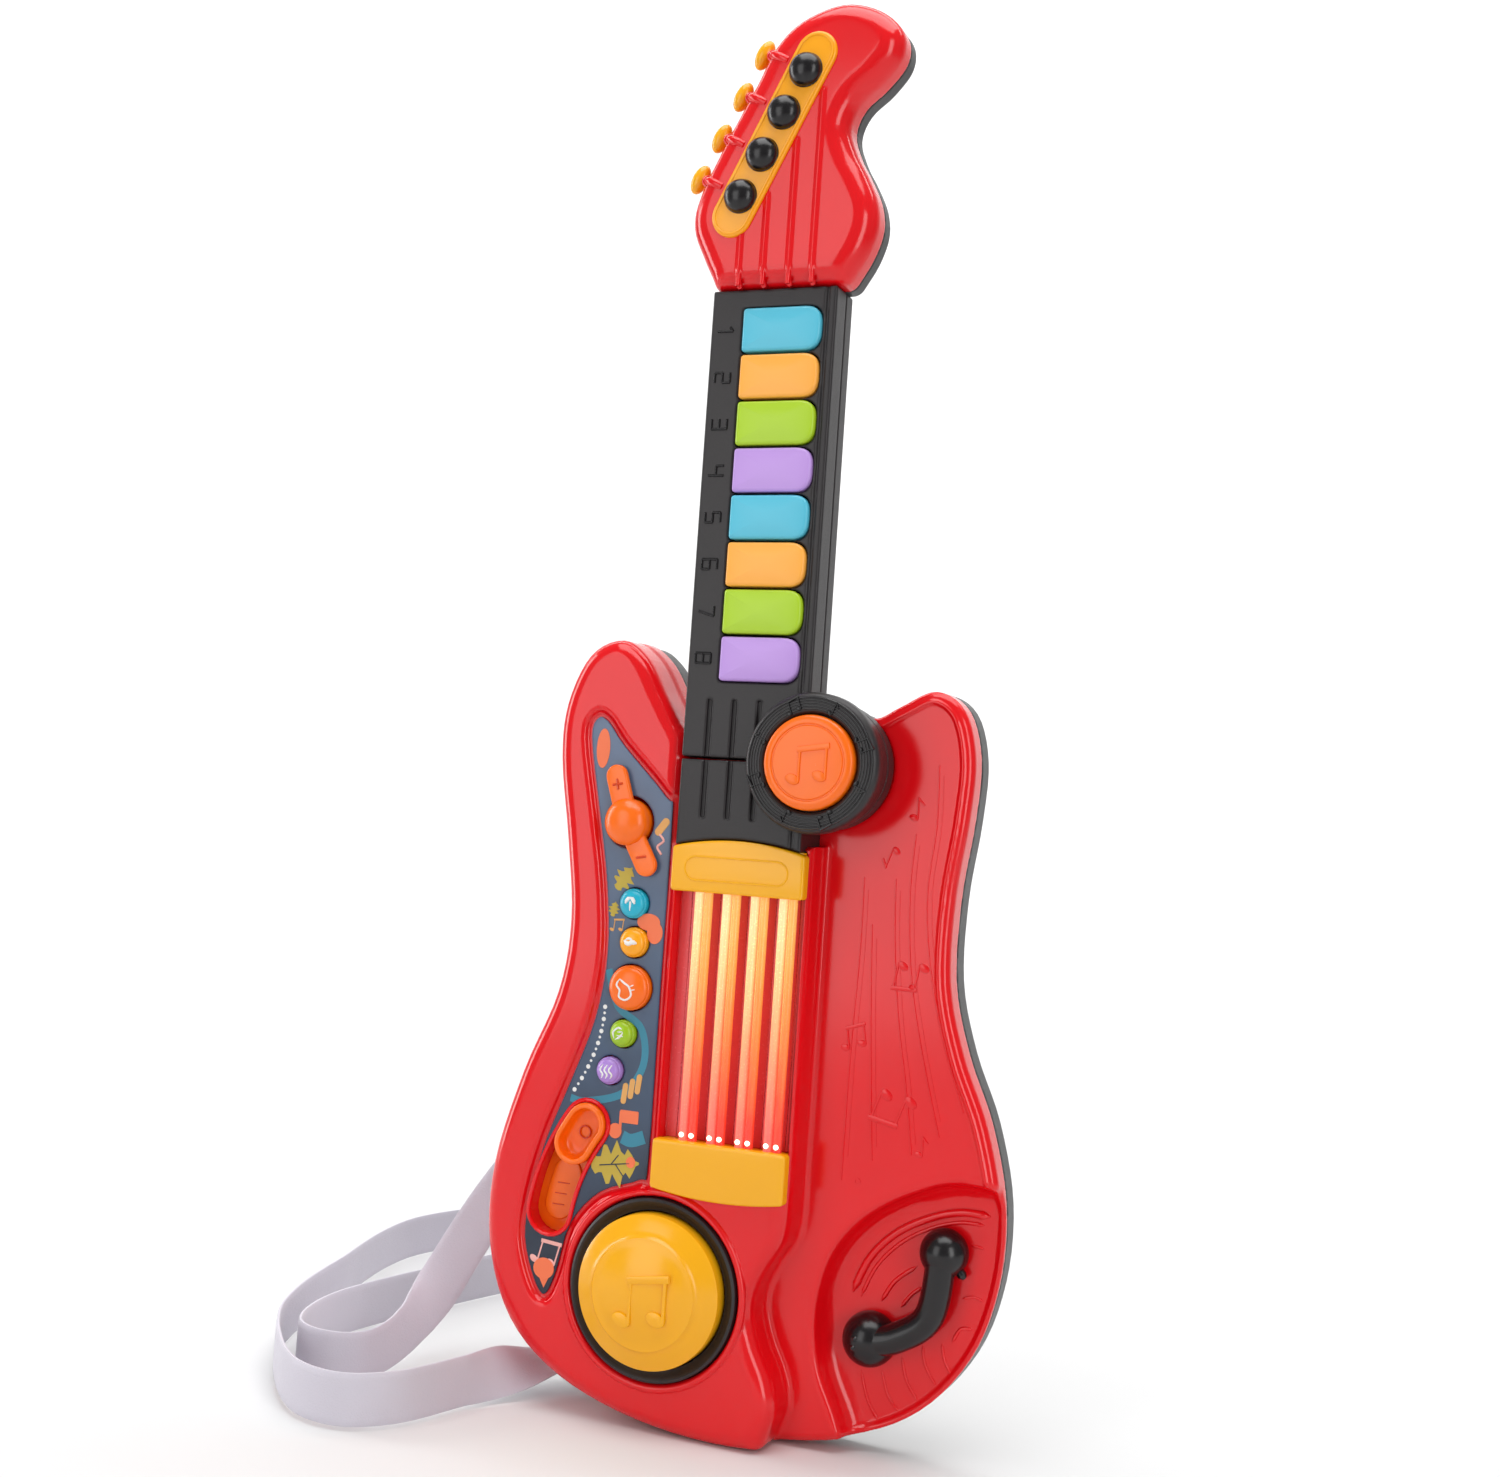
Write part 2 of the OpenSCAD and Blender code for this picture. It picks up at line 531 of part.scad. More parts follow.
module neck_front() color(BLACK) upright() difference() {
    union() {
        block([neck_left, GAP, 35], [neck_right, neck_len, neck_face_t]);
        disc([0, 0], KNUCKLE_R, 35, neck_face_t);
    }
    block([neck_left + 2, 29, 34], [neck_right - 2, neck_len - 3, neck_face_t - 2.2]);
    block([neck_left + 2, GAP + 2, 34], [-28, 27, neck_face_t - 2.2]);
    disc([0, 0], post_r + RUN, 34, neck_face_t + 1);
    for (i = [0 : KEYS - 1])
        block([KEY_X - 0.5, key_y(i) - 0.5, 40], [KEY_X + key_w + 0.5, key_y(i) + key_h + 0.5, 50]);
    for (x = [-46, -35.6, -25.2]) bar([x, -5], [x, 23], 0.8, neck_face_t - 1.2, neck_face_t + 1);
}

module key(i) color(KEY_COLORS[i % 4]) upright() {
    y = key_y(i);
    difference() {
        union() {
            block([KEY_X, y, 41], [KEY_X + key_w - 5, y + key_h, neck_face_t + 2]);
            bar([KEY_X + key_w - 6, y + 6], [KEY_X + key_w - 6, y + key_h - 6], 6, 41, neck_face_t + 2);
        }
        block([KEY_X + 1.4, y + 1.4, 40], [KEY_X + key_w - 4, y + key_h - 1.4, neck_face_t]);
    }
    disc([KEY_X + key_w / 2, y + key_h / 2], 2, 40.2, neck_face_t + 0.5);
}

module key_pads() color([0.75, 0.75, 0.78]) upright() {
    block([-44, 29.6, 34.6], [-9, 180, 35.6]);
    for (i = [0 : KEYS - 1]) disc([KEY_X + key_w / 2, key_y(i) + key_h / 2], 3.5, 35.6,
        39.9 - key_travel);
}

module key_board() color([0.1, 0.4, 0.18]) upright() block([-52, 30, 33], [-7, 181, 34.6]);

// Cuts the head's shells off at the neck, with a window for the neck's tongue
module head_trim() {
    block([-80, 150, 20], [30, neck_len, 60]);
    block([-48, 180, 30], [-12, neck_len + 6, 41]);
}

module head_front() color(RED) upright() difference() {
    union() {
        prism(HEAD, 35, head_face_t - 5);
        prism(inset(HEAD, 1.4), 36, head_face_t - 2);
        prism(inset(HEAD, 3.6), 37, head_face_t);
    }
    difference() {
        prism(inset(HEAD, wall), 34, head_face_t - 5 - wall);
        block([-80, 150, 30], [30, neck_len + 2, 60]);
    }
    for (i = [0 : 3]) peg_place(i) translate([0, 0, -3.4]) cylinder(h = 12, r = 2.2);
    head_trim();
}

module head_back() color(BLACK) upright() difference() {
    union() {
        prism(inset(HEAD, 1.2), neck_back_t, neck_back_t + 1.5);
        prism(HEAD, neck_back_t + 1.5, 35);
    }
    difference() {
        prism(inset(HEAD, wall), neck_back_t + 2, 36);
        block([-80, 150, 20], [30, neck_len + 2, 60]);
    }
    head_trim();
}

function tuner(i) = [-21.5, 270.3] + i * [-8.03, -16.2];
// Turns to the outward side of the head at tuner peg i
module peg_place(i) {
    p = [-40.2, 281] + i * [-8.17, -16.33];
    translate([p[0], p[1], 40]) rotate([0, 0, 153]) rotate([0, 90, 0]) children();
}

module tuner_plate() color([1, 0.62, 0.05]) upright()
    bar([-18, 277.3], [-49.2, 214.5], 8.6, head_face_t, head_face_t + 1.6);

module tuner_domes() color([0.04, 0.04, 0.05]) upright() for (i = [0 : 3]) {
    disc(tuner(i), 6.3, head_face_t + 1.6, head_face_t + 2.4);
    dome(tuner(i), 6.2, head_face_t + 2.3, 4.9);
}

module tuner_pegs() color(YELLOW) upright() for (i = [0 : 3]) peg_place(i) {
    translate([0, 0, -5]) cylinder(h = 11, r = 2.1);
    translate([0, 0, 5]) hull() for (y = [-2.6, 2.6])
        translate([0, y, 1.5]) sphere(3.1, $fn = 32);
}

module case_screws() color("silver") upright() for (p = SCREWS) screw(p, 0.8, 9);

module door_screw() color("silver") upright() {
    disc(BATTERY + [BATTERY_BOX[0] / 2, -4.5], 1.5, 0.4, 2.6);
}

module neck_screws() color("silver") upright() for (y = [14, 100, 176])
    disc([-30 - (y == 14 ? 12 : 0), y], 1.5, neck_back_t + 0.3, 32);

front_shell();
back_shell();
battery_door();
battery_cells();
battery_contacts();
speaker();
main_board();
panel_label();
block_upper();
block_lower();
light_strings();
light_board();
neck_stub();
pivot_post();
pivot_washer();
drum_ring();
drum_button();
drum_spring();
volume_rocker();
sound_button(0);  // sound_button_1
sound_button(1);  // sound_button_2
sound_button(2);  // sound_button_3
sound_button(3);  // sound_button_4
sound_button(4);  // sound_button_5
slide_track();
power_slider();
whammy_bar();
whammy_spring();
strap_pins();
strap();
neck_back();
neck_front();
head_front();
head_back();
tuner_plate();
tuner_domes();
tuner_pegs();
hub_ring();
key_board();
key_pads();
key(0);  // key_1
key(1);  // key_2
key(2);  // key_3
key(3);  // key_4
key(4);  // key_5
key(5);  // key_6
key(6);  // key_7
key(7);  // key_8
hub_button();
hub_spring();
case_screws();
door_screw();
neck_screws();
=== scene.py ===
"""Looks of the toy guitar. Shapes are worked out in millimetres on the guitar lying on its back:
x across, y up the neck, t out of the front. place() turns them into the row frame, in metres."""
import math

import bmesh
import bpy
import numpy as np
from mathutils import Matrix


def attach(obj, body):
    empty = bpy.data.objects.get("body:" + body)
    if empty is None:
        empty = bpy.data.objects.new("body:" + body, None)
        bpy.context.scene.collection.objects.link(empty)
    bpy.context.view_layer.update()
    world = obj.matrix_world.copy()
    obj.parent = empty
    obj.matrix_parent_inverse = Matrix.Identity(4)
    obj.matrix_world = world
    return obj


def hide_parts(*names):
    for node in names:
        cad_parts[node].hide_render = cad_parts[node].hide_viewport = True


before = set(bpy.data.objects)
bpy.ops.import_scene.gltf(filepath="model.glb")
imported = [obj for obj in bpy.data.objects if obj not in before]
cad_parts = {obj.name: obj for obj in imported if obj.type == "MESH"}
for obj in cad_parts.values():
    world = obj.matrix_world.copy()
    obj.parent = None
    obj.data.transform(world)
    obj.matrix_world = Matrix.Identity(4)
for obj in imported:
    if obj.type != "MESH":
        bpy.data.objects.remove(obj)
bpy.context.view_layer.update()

import openvdb
from mathutils import Matrix

# ---- places shared with the CAD part
SEAM_T, BED_T, DISH_T, FACE_T, PANEL_T = 12, 24, 13, 43, 41.6
PLUG_T = 9  # how far the front shell reaches down inside the back one
NECK_LEFT, NECK_RIGHT = -57, -4.5
NECK_BACK, NECK_SEAM, NECK_FACE = 27, 35, 46
NECK_LEN = 186
STUB_LOW = -31.1
SLITS_X, SLIT, GROOVE_X = (-46.3, -35.8, -25.2), 0.85, -8.4
HEAD_TOP = 50
RIBS = [(-45.2, 209), (-34.9, 222), (-24.1, 243), (-14.3, 262)]  # across, and the rib's upper end
HUB_TOP = 54
KEY_BOX = (-43, 33, 17.4)  # left edge, width, height along the neck
KEY_TOP, KEY_PITCH, KEY_FLOOR_T = 178.2, 18.6, 38.6
KNOB = (-79.5, -27)
BUTTONS = [(-74.7, -59.1, 5.9), (-73.5, -74.4, 5.9), (-73.8, -92.4, 8.9), (-75.5, -110.6, 5.4),
           (-80.2, -125.7, 5.4)]
SLOT_C, SLOT_R, SLOT_HALF = (-18.5, -195.8), 85, 9
SLOT_A, KNOB_A = (139.6, 178), 18.5
DRUM = (-54.7, -207.7)
STRING_X, WELL_X = (-44.5, -32.7, -20.9, -9.1), (-56.6, -3.9)
WHAMMY, WHAMMY_END = (26.2, -219.1), (53.9, -182.1)
WELL, WELL_T = (-57, -167, -3.5, -33.5), 36
CAVITY_T = 33.4  # floor of the holes for the buttons and the switch
SPEAKER, DOOR = (-92, -187), (-96, -96, -34, -40)
SCREWS = [(-100, 28), (44, 18), (43, -60), (-118, -204), (62, -130), (-20, -252), (-84, -122)]
BODY_PTS = [(-90, 46.5), (-78, 39), (-68, 23), (-58, 9.5), (-42, 7), (-26, 12), (-12, 20), (2, 23),
            (14, 20), (24, 25), (38, 31.5), (50, 24.5), (55.5, 6), (54.6, -18), (51, -48), (51, -80),
            (58, -107), (69, -133), (76, -163), (75, -193), (66, -220.5), (47, -243.5), (20, -257),
            (-20, -263), (-60, -260), (-95, -249), (-119, -230), (-131, -201), (-131.3, -168),
            (-121, -130), (-108, -97), (-104.6, -68), (-108.5, -36), (-114, -3), (-113, 20), (-104, 40)]
HEAD_PTS = [(-52, 170), (-57, 187), (-63, 199), (-68.5, 212), (-67, 225), (-57, 247), (-46, 268),
            (-38, 284), (-27, 294), (-10, 299), (5, 295), (14.5, 286), (15, 276), (8, 266.5),
            (-1, 258.5), (-4.5, 249), (-1.5, 239), (4, 229), (8.5, 219), (9.5, 209), (6, 198),
            (-1, 186), (-8, 170)]
PANEL_PTS = [(-97, 14.5), (-92, 13), (-84, 3.5), (-64, -16), (-60.8, -24), (-60.8, -90),
             (-60.8, -160), (-64, -167), (-81, -174), (-93, -188), (-98, -208), (-102.5, -217.5),
             (-108, -212), (-113.5, -196), (-112.5, -178), (-107, -156), (-98, -132), (-89, -106),
             (-85.6, -80), (-88, -52), (-93.5, -24), (-99.5, 6)]
DISH_PTS = [(90, -158), (61, -154.5), (42, -160.5), (25, -171), (13.5, -184), (7.5, -199), (6, -216),
            (9, -233), (17, -250), (24, -270)]
WALL_PTS = [(-1.5, -172), (-3, -183), (-9, -193), (-13.5, -203), (-14, -213), (-10.5, -224),
            (-5, -235), (-2.5, -246), (-5, -256), (-10, -270)]
# Middle line of the strap in the row frame, in millimetres, as in the CAD part
STRAP_PTS = [(0, -1.5, 0), (-5, 2.2, -6.4), (-20, 4, -26), (-60, 10, -74), (-100, 11, -122),
             (-134, 9, -164), (-158, 4, -200), (-171, -8, -231), (-173, -30, -246), (-177, -51, -251.5),
             (-191, -61, -251.5), (-208, -54, -251.5), (-218, -34, -251.5), (-222, -8, -251.5),
             (-219, 22, -251.5), (-212, 58, -251.5), (-202, 100, -251.5), (-190, 140, -251.5),
             (-184, 172, -251.5), (-196, 200, -251.5), (-222, 212, -251.5), (-250, 200, -251.5),
             (-268, 172, -251.5), (-276, 136, -251.5), (-270, 94, -251.5), (-257, 48, -251.5),
             (-245, 2, -251.5), (-228, -40, -251.5), (-202, -76, -251.5), (-176, -100, -251.5),
             (-152, -104, -251.5), (-136, -88, -251.5), (-128, -62, -251.5), (-120, -34, -251.5),
             (-108, -10, -250), (-90, 5, -246), (-73.5, 2.4, -237.7), (-66, -1.5, -234)]


def curve(points, n, closed=False):
    """Points on a smooth curve through the given points."""
    p = np.array(points, float)
    padded = np.pad(p, ((1, 2), (0, 0)), "wrap" if closed else "edge")
    s = np.arange(n)[:, None] / n
    out = []
    for i in range(len(p) if closed else len(p) - 1):
        a, b, c, d = padded[i:i + 4]
        out.append(0.5 * (2 * b + (c - a) * s + (2 * a - 5 * b + 4 * c - d) * s * s
                          + (3 * b - a - 3 * c + d) * s ** 3))
    return np.concatenate(out if closed else [*out, p[-1:]])


def place(p):
    """From x, y, t in millimetres to the row frame in metres."""
    p = np.asarray(p, float)
    return np.stack([p[..., 0], -p[..., 2], p[..., 1]], -1) / 1000


def unit(v):
    """A vector, or each vector of a row, made 1 long."""
    return v / np.linalg.norm(v, axis=-1, keepdims=True)


def polar(r, angle):
    """The point at distance r in a direction, in radians, or one point for each direction."""
    return r * np.stack([np.cos(angle), np.sin(angle)], -1)


def circle(r, n, stretch=1.0):
    """n points round a circle, or an ellipse that is r by r * stretch."""
    return polar(r, np.linspace(0, 2 * np.pi, n, endpoint=False)) * (1, stretch)


def spun(points, degrees):
    """Points turned about the origin of their plane."""
    c, s = polar(1, math.radians(degrees))
    return np.asarray(points, float) @ [(c, s), (-s, c)]


def level(outline, t):
    """The points of an outline, all at height t."""
    return np.column_stack([outline, np.full(len(outline), t)])


def taper(line, least):
    """Factors that narrow a stroke to least of its width at both ends."""
    steps = np.arange(len(line))
    return np.clip(np.minimum(steps, steps[::-1]) / 3, least, 1)


def show(name, data):
    """A new object in the scene."""
    thing = bpy.data.objects.new(name, data)
    bpy.context.scene.collection.objects.link(thing)
    return thing


def stand(thing, x, y, z, where):
    """Places a camera or light by its own three axes."""
    thing.matrix_world = Matrix.Translation(where) @ Matrix(np.column_stack([x, y, z]).tolist()).to_4x4()


# ---- camera
def make_camera():
    data = bpy.data.cameras.new("camera")
    data.lens = 44.4
    data.sensor_width = 36
    camera = show("camera", data)
    forward = unit(np.array([-0.3822, 0.9228, 0.0488]))
    right = unit(np.cross(forward, [0, 0, 1]))
    up = np.cross(right, forward)
    c, s = polar(1, math.radians(3.9))  # the guitar leans in the picture by this roll
    stand(camera, right * c + up * s, up * c - right * s, -forward, (0.2459, -0.7079, -0.0265))
    bpy.context.scene.camera = camera


make_camera()


# ---- materials
def put(node, **values):
    """Sets a node's inputs by name; an underscore stands for a space."""
    for key, value in values.items():
        node.inputs[key.replace("_", " ")].default_value = value
    return node


class Finish:
    """A material in the making: its nodes, and the links between them."""

    def __init__(self, name, **values):
        self.material = bpy.data.materials.new(name)
        self.material.use_nodes = True
        self.tree = self.material.node_tree
        self.shader = put(self.tree.nodes["Principled BSDF"], **values)
        self.where = self.add("TexCoord").outputs["Object"]

    def add(self, kind, **values):
        return put(self.tree.nodes.new("ShaderNode" + kind), **values)

    def link(self, source, node, socket):
        self.tree.links.new(source, node.inputs[socket])

    def noise(self, scale, detail=3.0):
        n = self.add("TexNoise", Scale=scale, Detail=detail)
        self.link(self.where, n, "Vector")
        return n.outputs["Fac"]

    def spread(self, source, low, high, **values):
        """source, from 0 to 1 unless values says otherwise, spread between two values."""
        r = self.add("MapRange", To_Min=low, To_Max=high, **values)
        self.link(source, r, "Value")
        return r.outputs["Result"]

    def tint(self, source, color, shift):
        """The base colour: color, a little darker and lighter with source."""
        mix = self.add("Mix")
        mix.data_type = "RGBA"
        put(mix, A=(*[c * (1 - shift) for c in color], 1), B=(*[min(1, c * (1 + shift)) for c in color], 1))
        self.link(source, mix, "Factor")
        self.link(mix.outputs["Result"], self.shader, "Base Color")

    def bump(self, source, strength, distance=0.0004, under=None):
        b = self.add("Bump", Strength=strength, Distance=distance)
        self.link(source, b, "Height")
        if under:
            self.link(under, b, "Normal")
        return b.outputs["Normal"]

    def ramp_along_z(self, source, amount, bottom, top, colors, places):
        """Colours from bottom to top of the guitar, shifted a little by source."""
        split = self.add("SeparateXYZ")
        self.link(self.where, split, "Vector")
        add = self.add("Math")
        add.operation = "MULTIPLY_ADD"
        add.inputs[1].default_value = amount
        self.link(source, add, 0)
        self.link(split.outputs["Z"], add, 2)
        ramp = self.add("ValToRGB")
        ramp.color_ramp.elements[0].color = (*colors[0], 1)
        ramp.color_ramp.elements[1].color = (*colors[-1], 1)
        for at, color in zip(places, colors[1:-1]):
            ramp.color_ramp.elements.new(at).color = (*color, 1)
        self.link(self.spread(add.outputs["Value"], 0, 1, From_Min=bottom, From_Max=top), ramp, "Fac")
        self.link(ramp.outputs["Color"], self.shader, "Base Color")
        return ramp.outputs["Color"]


def plastic(name, color, rough=0.25, grain=0.02, grain_scale=900, shift=0.05, wave=0.0):
    """Moulded plastic: a fine grain, slow colour change, and faint sink marks from the mould."""
    f = Finish(name, Coat_Roughness=0.06, IOR=1.5)
    fine, slow = f.noise(grain_scale), f.noise(18)
    f.tint(slow, color, shift)
    f.link(f.spread(fine, rough * 0.8, rough * 1.25), f.shader, "Roughness")
    sink = f.bump(slow, wave, 0.002) if wave else None
    f.link(f.bump(fine, grain, under=sink), f.shader, "Normal")
    return f.material


def label_print():
    """Printed film: slate blue at the top to navy at the bottom, with soft painted clouds."""
    f = Finish("label_print", Roughness=0.3)
    colors = ((0.012, 0.018, 0.035), (0.05, 0.085, 0.15), (0.115, 0.16, 0.25))
    f.ramp_along_z(f.noise(45, 2.0), 0.09, -0.17, 0.06, colors, (0.5,))
    return f.material


def lit_strings(name, colors, strength):
    """Clear rods lit from inside, from the colour at the bottom to the one at the top, with painted glints
    as small brighter spots.
    """
    f = Finish(name, Roughness=0.12)
    stretch = f.add("Mapping", Scale=(600, 600, 40))
    f.link(f.where, stretch, "Vector")
    streak = f.add("TexNoise", Scale=1.0)
    f.link(stretch.outputs["Vector"], streak, "Vector")
    color = f.ramp_along_z(streak.outputs["Fac"], 0.03, -0.145, -0.04, colors, (0.22, 0.5, 0.75))
    f.link(color, f.shader, "Emission Color")
    # small spots where the glow is brighter: painted glints
    glint_spots = f.add("TexVoronoi", Scale=900)
    f.link(f.where, glint_spots, "Vector")
    spark = f.spread(glint_spots.outputs["Distance"], strength * 2.5, strength, From_Min=0.1, From_Max=0.3)
    f.link(spark, f.shader, "Emission Strength")
    return f.material


def webbing_fabric():
    """Ribbed polyester webbing: fine threads along it, a soft sheen, slight soiling."""
    f = Finish("webbing_fabric", Roughness=0.75, Sheen_Weight=0.3, Sheen_Roughness=0.4)
    f.tint(f.noise(25), (0.6, 0.57, 0.64), 0.07)
    f.link(f.bump(f.noise(1400), 0.35), f.shader, "Normal")
    return f.material


def metal(name, color, rough):
    f = Finish(name, Metallic=1.0)
    fine = f.noise(700)
    f.tint(fine, color, 0.1)
    f.link(f.spread(fine, rough * 0.7, rough * 1.3), f.shader, "Roughness")
    return f.material


def glow(name, color, strength):
    f = Finish(name, Emission_Color=(*color, 1), Emission_Strength=strength)
    f.tint(f.noise(400), color, 0.1)
    return f.material


RED = plastic("red_gloss", (0.74, 0.003, 0.007), 0.14, grain=0.01, wave=0.02)
# the well's floor: red plastic made paler and pinker in its colour, a painted reflection
WELL_RED_PAINTED_SHEEN = plastic("well_red_painted_sheen", (0.82, 0.1, 0.11))
BLACK = plastic("black_satin", (0.015, 0.012, 0.013), 0.4, grain=0.12, grain_scale=1500, shift=0.15)
BLACK_GLOSS = plastic("black_gloss", (0.004, 0.003, 0.004), 0.24)
BACK_GREY = plastic("back_grey", (0.035, 0.034, 0.035), 0.4, grain=0.15, grain_scale=1200)
YELLOW = plastic("yellow_gloss", (0.88, 0.41, 0.003), 0.2)
AMBER = plastic("amber_gloss", (0.94, 0.38, 0.006), 0.22)
ORANGE_DEEP = plastic("orange_deep", (0.62, 0.05, 0.001), 0.3)
ORANGE = plastic("orange_gloss", (0.93, 0.15, 0.002), 0.24)
CYAN = plastic("cyan_gloss", (0.012, 0.42, 0.58))
GREEN = plastic("green_gloss", (0.33, 0.55, 0.012))
PURPLE = plastic("purple_gloss", (0.42, 0.24, 0.66))
KEY_MATERIALS = [plastic("key_" + name, color, 0.3, grain=0.05) for name, color in (
    ("cyan", (0.09, 0.5, 0.66)), ("amber", (0.98, 0.42, 0.06)),
    ("green", (0.4, 0.62, 0.02)), ("purple", (0.5, 0.3, 0.72)))]
LABEL = label_print()
LEAF, SALMON, TEAL, TAN, PINK, CREAM, INK = (plastic("print_" + name, color, 0.4) for name, color in (
    ("leaf", (0.5, 0.36, 0.035)), ("salmon", (0.85, 0.17, 0.06)), ("teal", (0.03, 0.22, 0.32)),
    ("tan", (0.72, 0.36, 0.1)), ("pink", (0.85, 0.42, 0.38)), ("cream", (0.8, 0.8, 0.78)),
    ("ink", (0.02, 0.03, 0.06))))
RODS_AMBER = lit_strings("rods_amber", ((0.7, 0.03, 0.03), (0.85, 0.06, 0.03), (0.95, 0.22, 0.05),
                                        (0.92, 0.36, 0.08), (0.92, 0.46, 0.12)), 0.25)
# the left rod of each pair: the same glow, paler and brighter, a painted highlight
RODS_PAINTED_HIGHLIGHT = lit_strings("rods_painted_highlight", ((0.8, 0.1, 0.1), (0.9, 0.17, 0.12), (0.92, 0.34, 0.16),
                                      (0.95, 0.56, 0.24), (0.95, 0.68, 0.34)), 0.35)
LED = glow("led_glow", (1.0, 0.72, 0.55), 3.0)
WEBBING = webbing_fabric()
STEEL = metal("steel_wire", (0.6, 0.6, 0.6), 0.3)
CELL = metal("cell_sleeve", (0.25, 0.25, 0.27), 0.35)
BOARD = plastic("board_green", (0.02, 0.14, 0.05), 0.35)
PAD = plastic("pad_rubber", (0.5, 0.5, 0.52), 0.6)
CONE = plastic("speaker_cone", (0.03, 0.03, 0.035), 0.6)


# ---- meshes
def make(name, verts, faces, material, body, node=None):
    """A smooth piece with its sharp edges kept, which rides on a body and may stand for a CAD node."""
    mesh = bpy.data.meshes.new(name)
    mesh.from_pydata([tuple(v) for v in verts], [], [tuple(int(i) for i in f) for f in faces])
    mesh.validate()
    bm = bmesh.new()
    bm.from_mesh(mesh)
    bmesh.ops.recalc_face_normals(bm, faces=bm.faces)
    for f in bm.faces:
        f.smooth = True
    for e in bm.edges:
        if e.is_manifold and e.calc_face_angle(0) > math.radians(38):
            e.smooth = False
    bm.to_mesh(mesh)
    bm.free()
    mesh.materials.append(material)
    piece = show(name, mesh)
    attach(piece, body)
    if node:
        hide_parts(node)
    return piece


class Lofts:
    """Collects closed shapes, each a stack of rings with a flat face at each end, into one piece."""

    def __init__(self):
        self.verts, self.faces = [], []

    def add(self, rings, to_frame=place):
        n, start = len(rings[0]), len(self.verts)
        for ring in rings:
            self.verts.extend(to_frame(ring))
        for i in range(len(rings) - 1):
            for k in range(n):
                a, b = start + i * n + k, start + i * n + (k + 1) % n
                self.faces.append((a, b, b + n, a + n))
        self.faces.append([start + k for k in range(n)][::-1])
        self.faces.append([start + (len(rings) - 1) * n + k for k in range(n)])
        return self

    def turned(self, centre, profile, n=96):
        """A shape turned about an axis that points out of the front."""
        return self.add([level(circle(max(r, 0.02), n) + centre, t) for r, t in profile])

    def pillow(self, outline, low, high, r=0.8, crown=0.0, steps=4):
        """An upright shape with a rounded upper edge, and with a crowned top where crown is set."""
        p = np.asarray(outline, float)
        ahead, behind = np.roll(p, -1, 0), np.roll(p, 1, 0)
        area = np.sum(p[:, 0] * ahead[:, 1] - p[:, 1] * ahead[:, 0])
        inward = spun(unit(ahead - behind), 90 if area > 0 else -90)
        rings = [level(p, low)]
        for k in range(steps + 1):
            a = math.pi / 2 * k / steps
            q = p + inward * r * (1 - math.cos(a))
            rings.append(level(q, high - r + r * math.sin(a)))
        if crown:
            middle = q.mean(0)
            for s in (0.85, 0.65, 0.4, 0.15):
                rings.append(level(middle + (q - middle) * s, high + crown * (1 - s * s)))
        return self.add(rings)

    def tube(self, points, radius, n=10):
        """A round bead along a route; radius is one number, or one for each point."""
        p = np.asarray(points, float)
        d = unit(np.gradient(p, axis=0))
        rings = []
        for q, u, r in zip(p, d, np.broadcast_to(radius, len(p))):
            side = np.cross(u, (0, 0, 1.0))
            side = unit(side) if np.linalg.norm(side) > 1e-6 else np.array([1.0, 0, 0])
            rings.append(q + r * circle(1, n) @ [side, np.cross(side, u)])
        return self.add(rings)

    def printed(self, outline, rise, edge=0.03):
        """A thin printed shape on the panel, as high as rise above it."""
        return self.pillow(outline, PANEL_T - 0.3, PANEL_T + rise, edge, steps=1)

    def note(self, centre, size, t, height, turn=0.0, pair=True):
        """A raised music note, single or double, as relief on a face at t."""
        def at(p):
            return size * spun(p, turn) + centre

        def bar(a, b, w, rise=0.0):
            a, b = np.array(a, float), np.array(b, float)
            d = unit(b - a) * w
            e = spun(d, 90)
            self.pillow(at([a - d - e, b + d - e, b + d + e, a - d + e]), t - 0.6, t + height + rise,
                        min(0.25, size * w * 0.5), steps=2)

        heads = [(-0.34, -0.42), (0.42, -0.3)] if pair else [(-0.2, -0.42)]
        for x, y in heads:
            ring = circle(1, 20) @ [(0.2, 0), (-0.05, 0.15)] + (x, y)
            self.pillow(at(ring), t - 0.6, t + height, min(0.4, size * 0.06), steps=2)
            bar((x + 0.17, y), (x + 0.17, y + 0.85), 0.035, 0.02)
        if pair:
            bar((-0.17, 0.4), (0.59, 0.52), 0.08, 0.04)
        else:
            bar((-0.03, 0.4), (0.2, 0.15), 0.05)
        return self

    def piece(self, name, material, body, node=None):
        return make(name, self.verts, self.faces, material, body, node)


def rounded(points, radius, n=6):
    """An outline with its corners rounded; radius is one number, or one for each corner."""
    p = np.array(points, float)
    radii = np.broadcast_to(radius, len(p))
    out = []
    for i in range(len(p)):
        u, v = unit(p[i - 1] - p[i]), unit(p[(i + 1) % len(p)] - p[i])
        half = math.acos(np.clip(u @ v, -1, 1)) / 2
        reach = radii[i] / math.tan(half)
        a, b, c = p[i] + u * reach, p[i] + v * reach, p[i]
        for s in np.linspace(0, 1, n):
            out.append((1 - s) ** 2 * a + 2 * s * (1 - s) * c + s * s * b)
    return np.array(out)


def box_outline(x0, y0, x1, y1, radius=1.0, n=6):
    return rounded([(x0, y0), (x1, y0), (x1, y1), (x0, y1)], radius, n)


def capsule(a, b, r, n=14):
    """Outline of a bar with round ends, from a to b."""
    a, b = np.array(a, float), np.array(b, float)
    turn = math.atan2(*(b - a)[::-1])
    back = np.linspace(turn + math.pi / 2, turn + 1.5 * math.pi, n)
    front = np.linspace(turn - math.pi / 2, turn + math.pi / 2, n)
    return np.concatenate([a + polar(r, back), b + polar(r, front)])


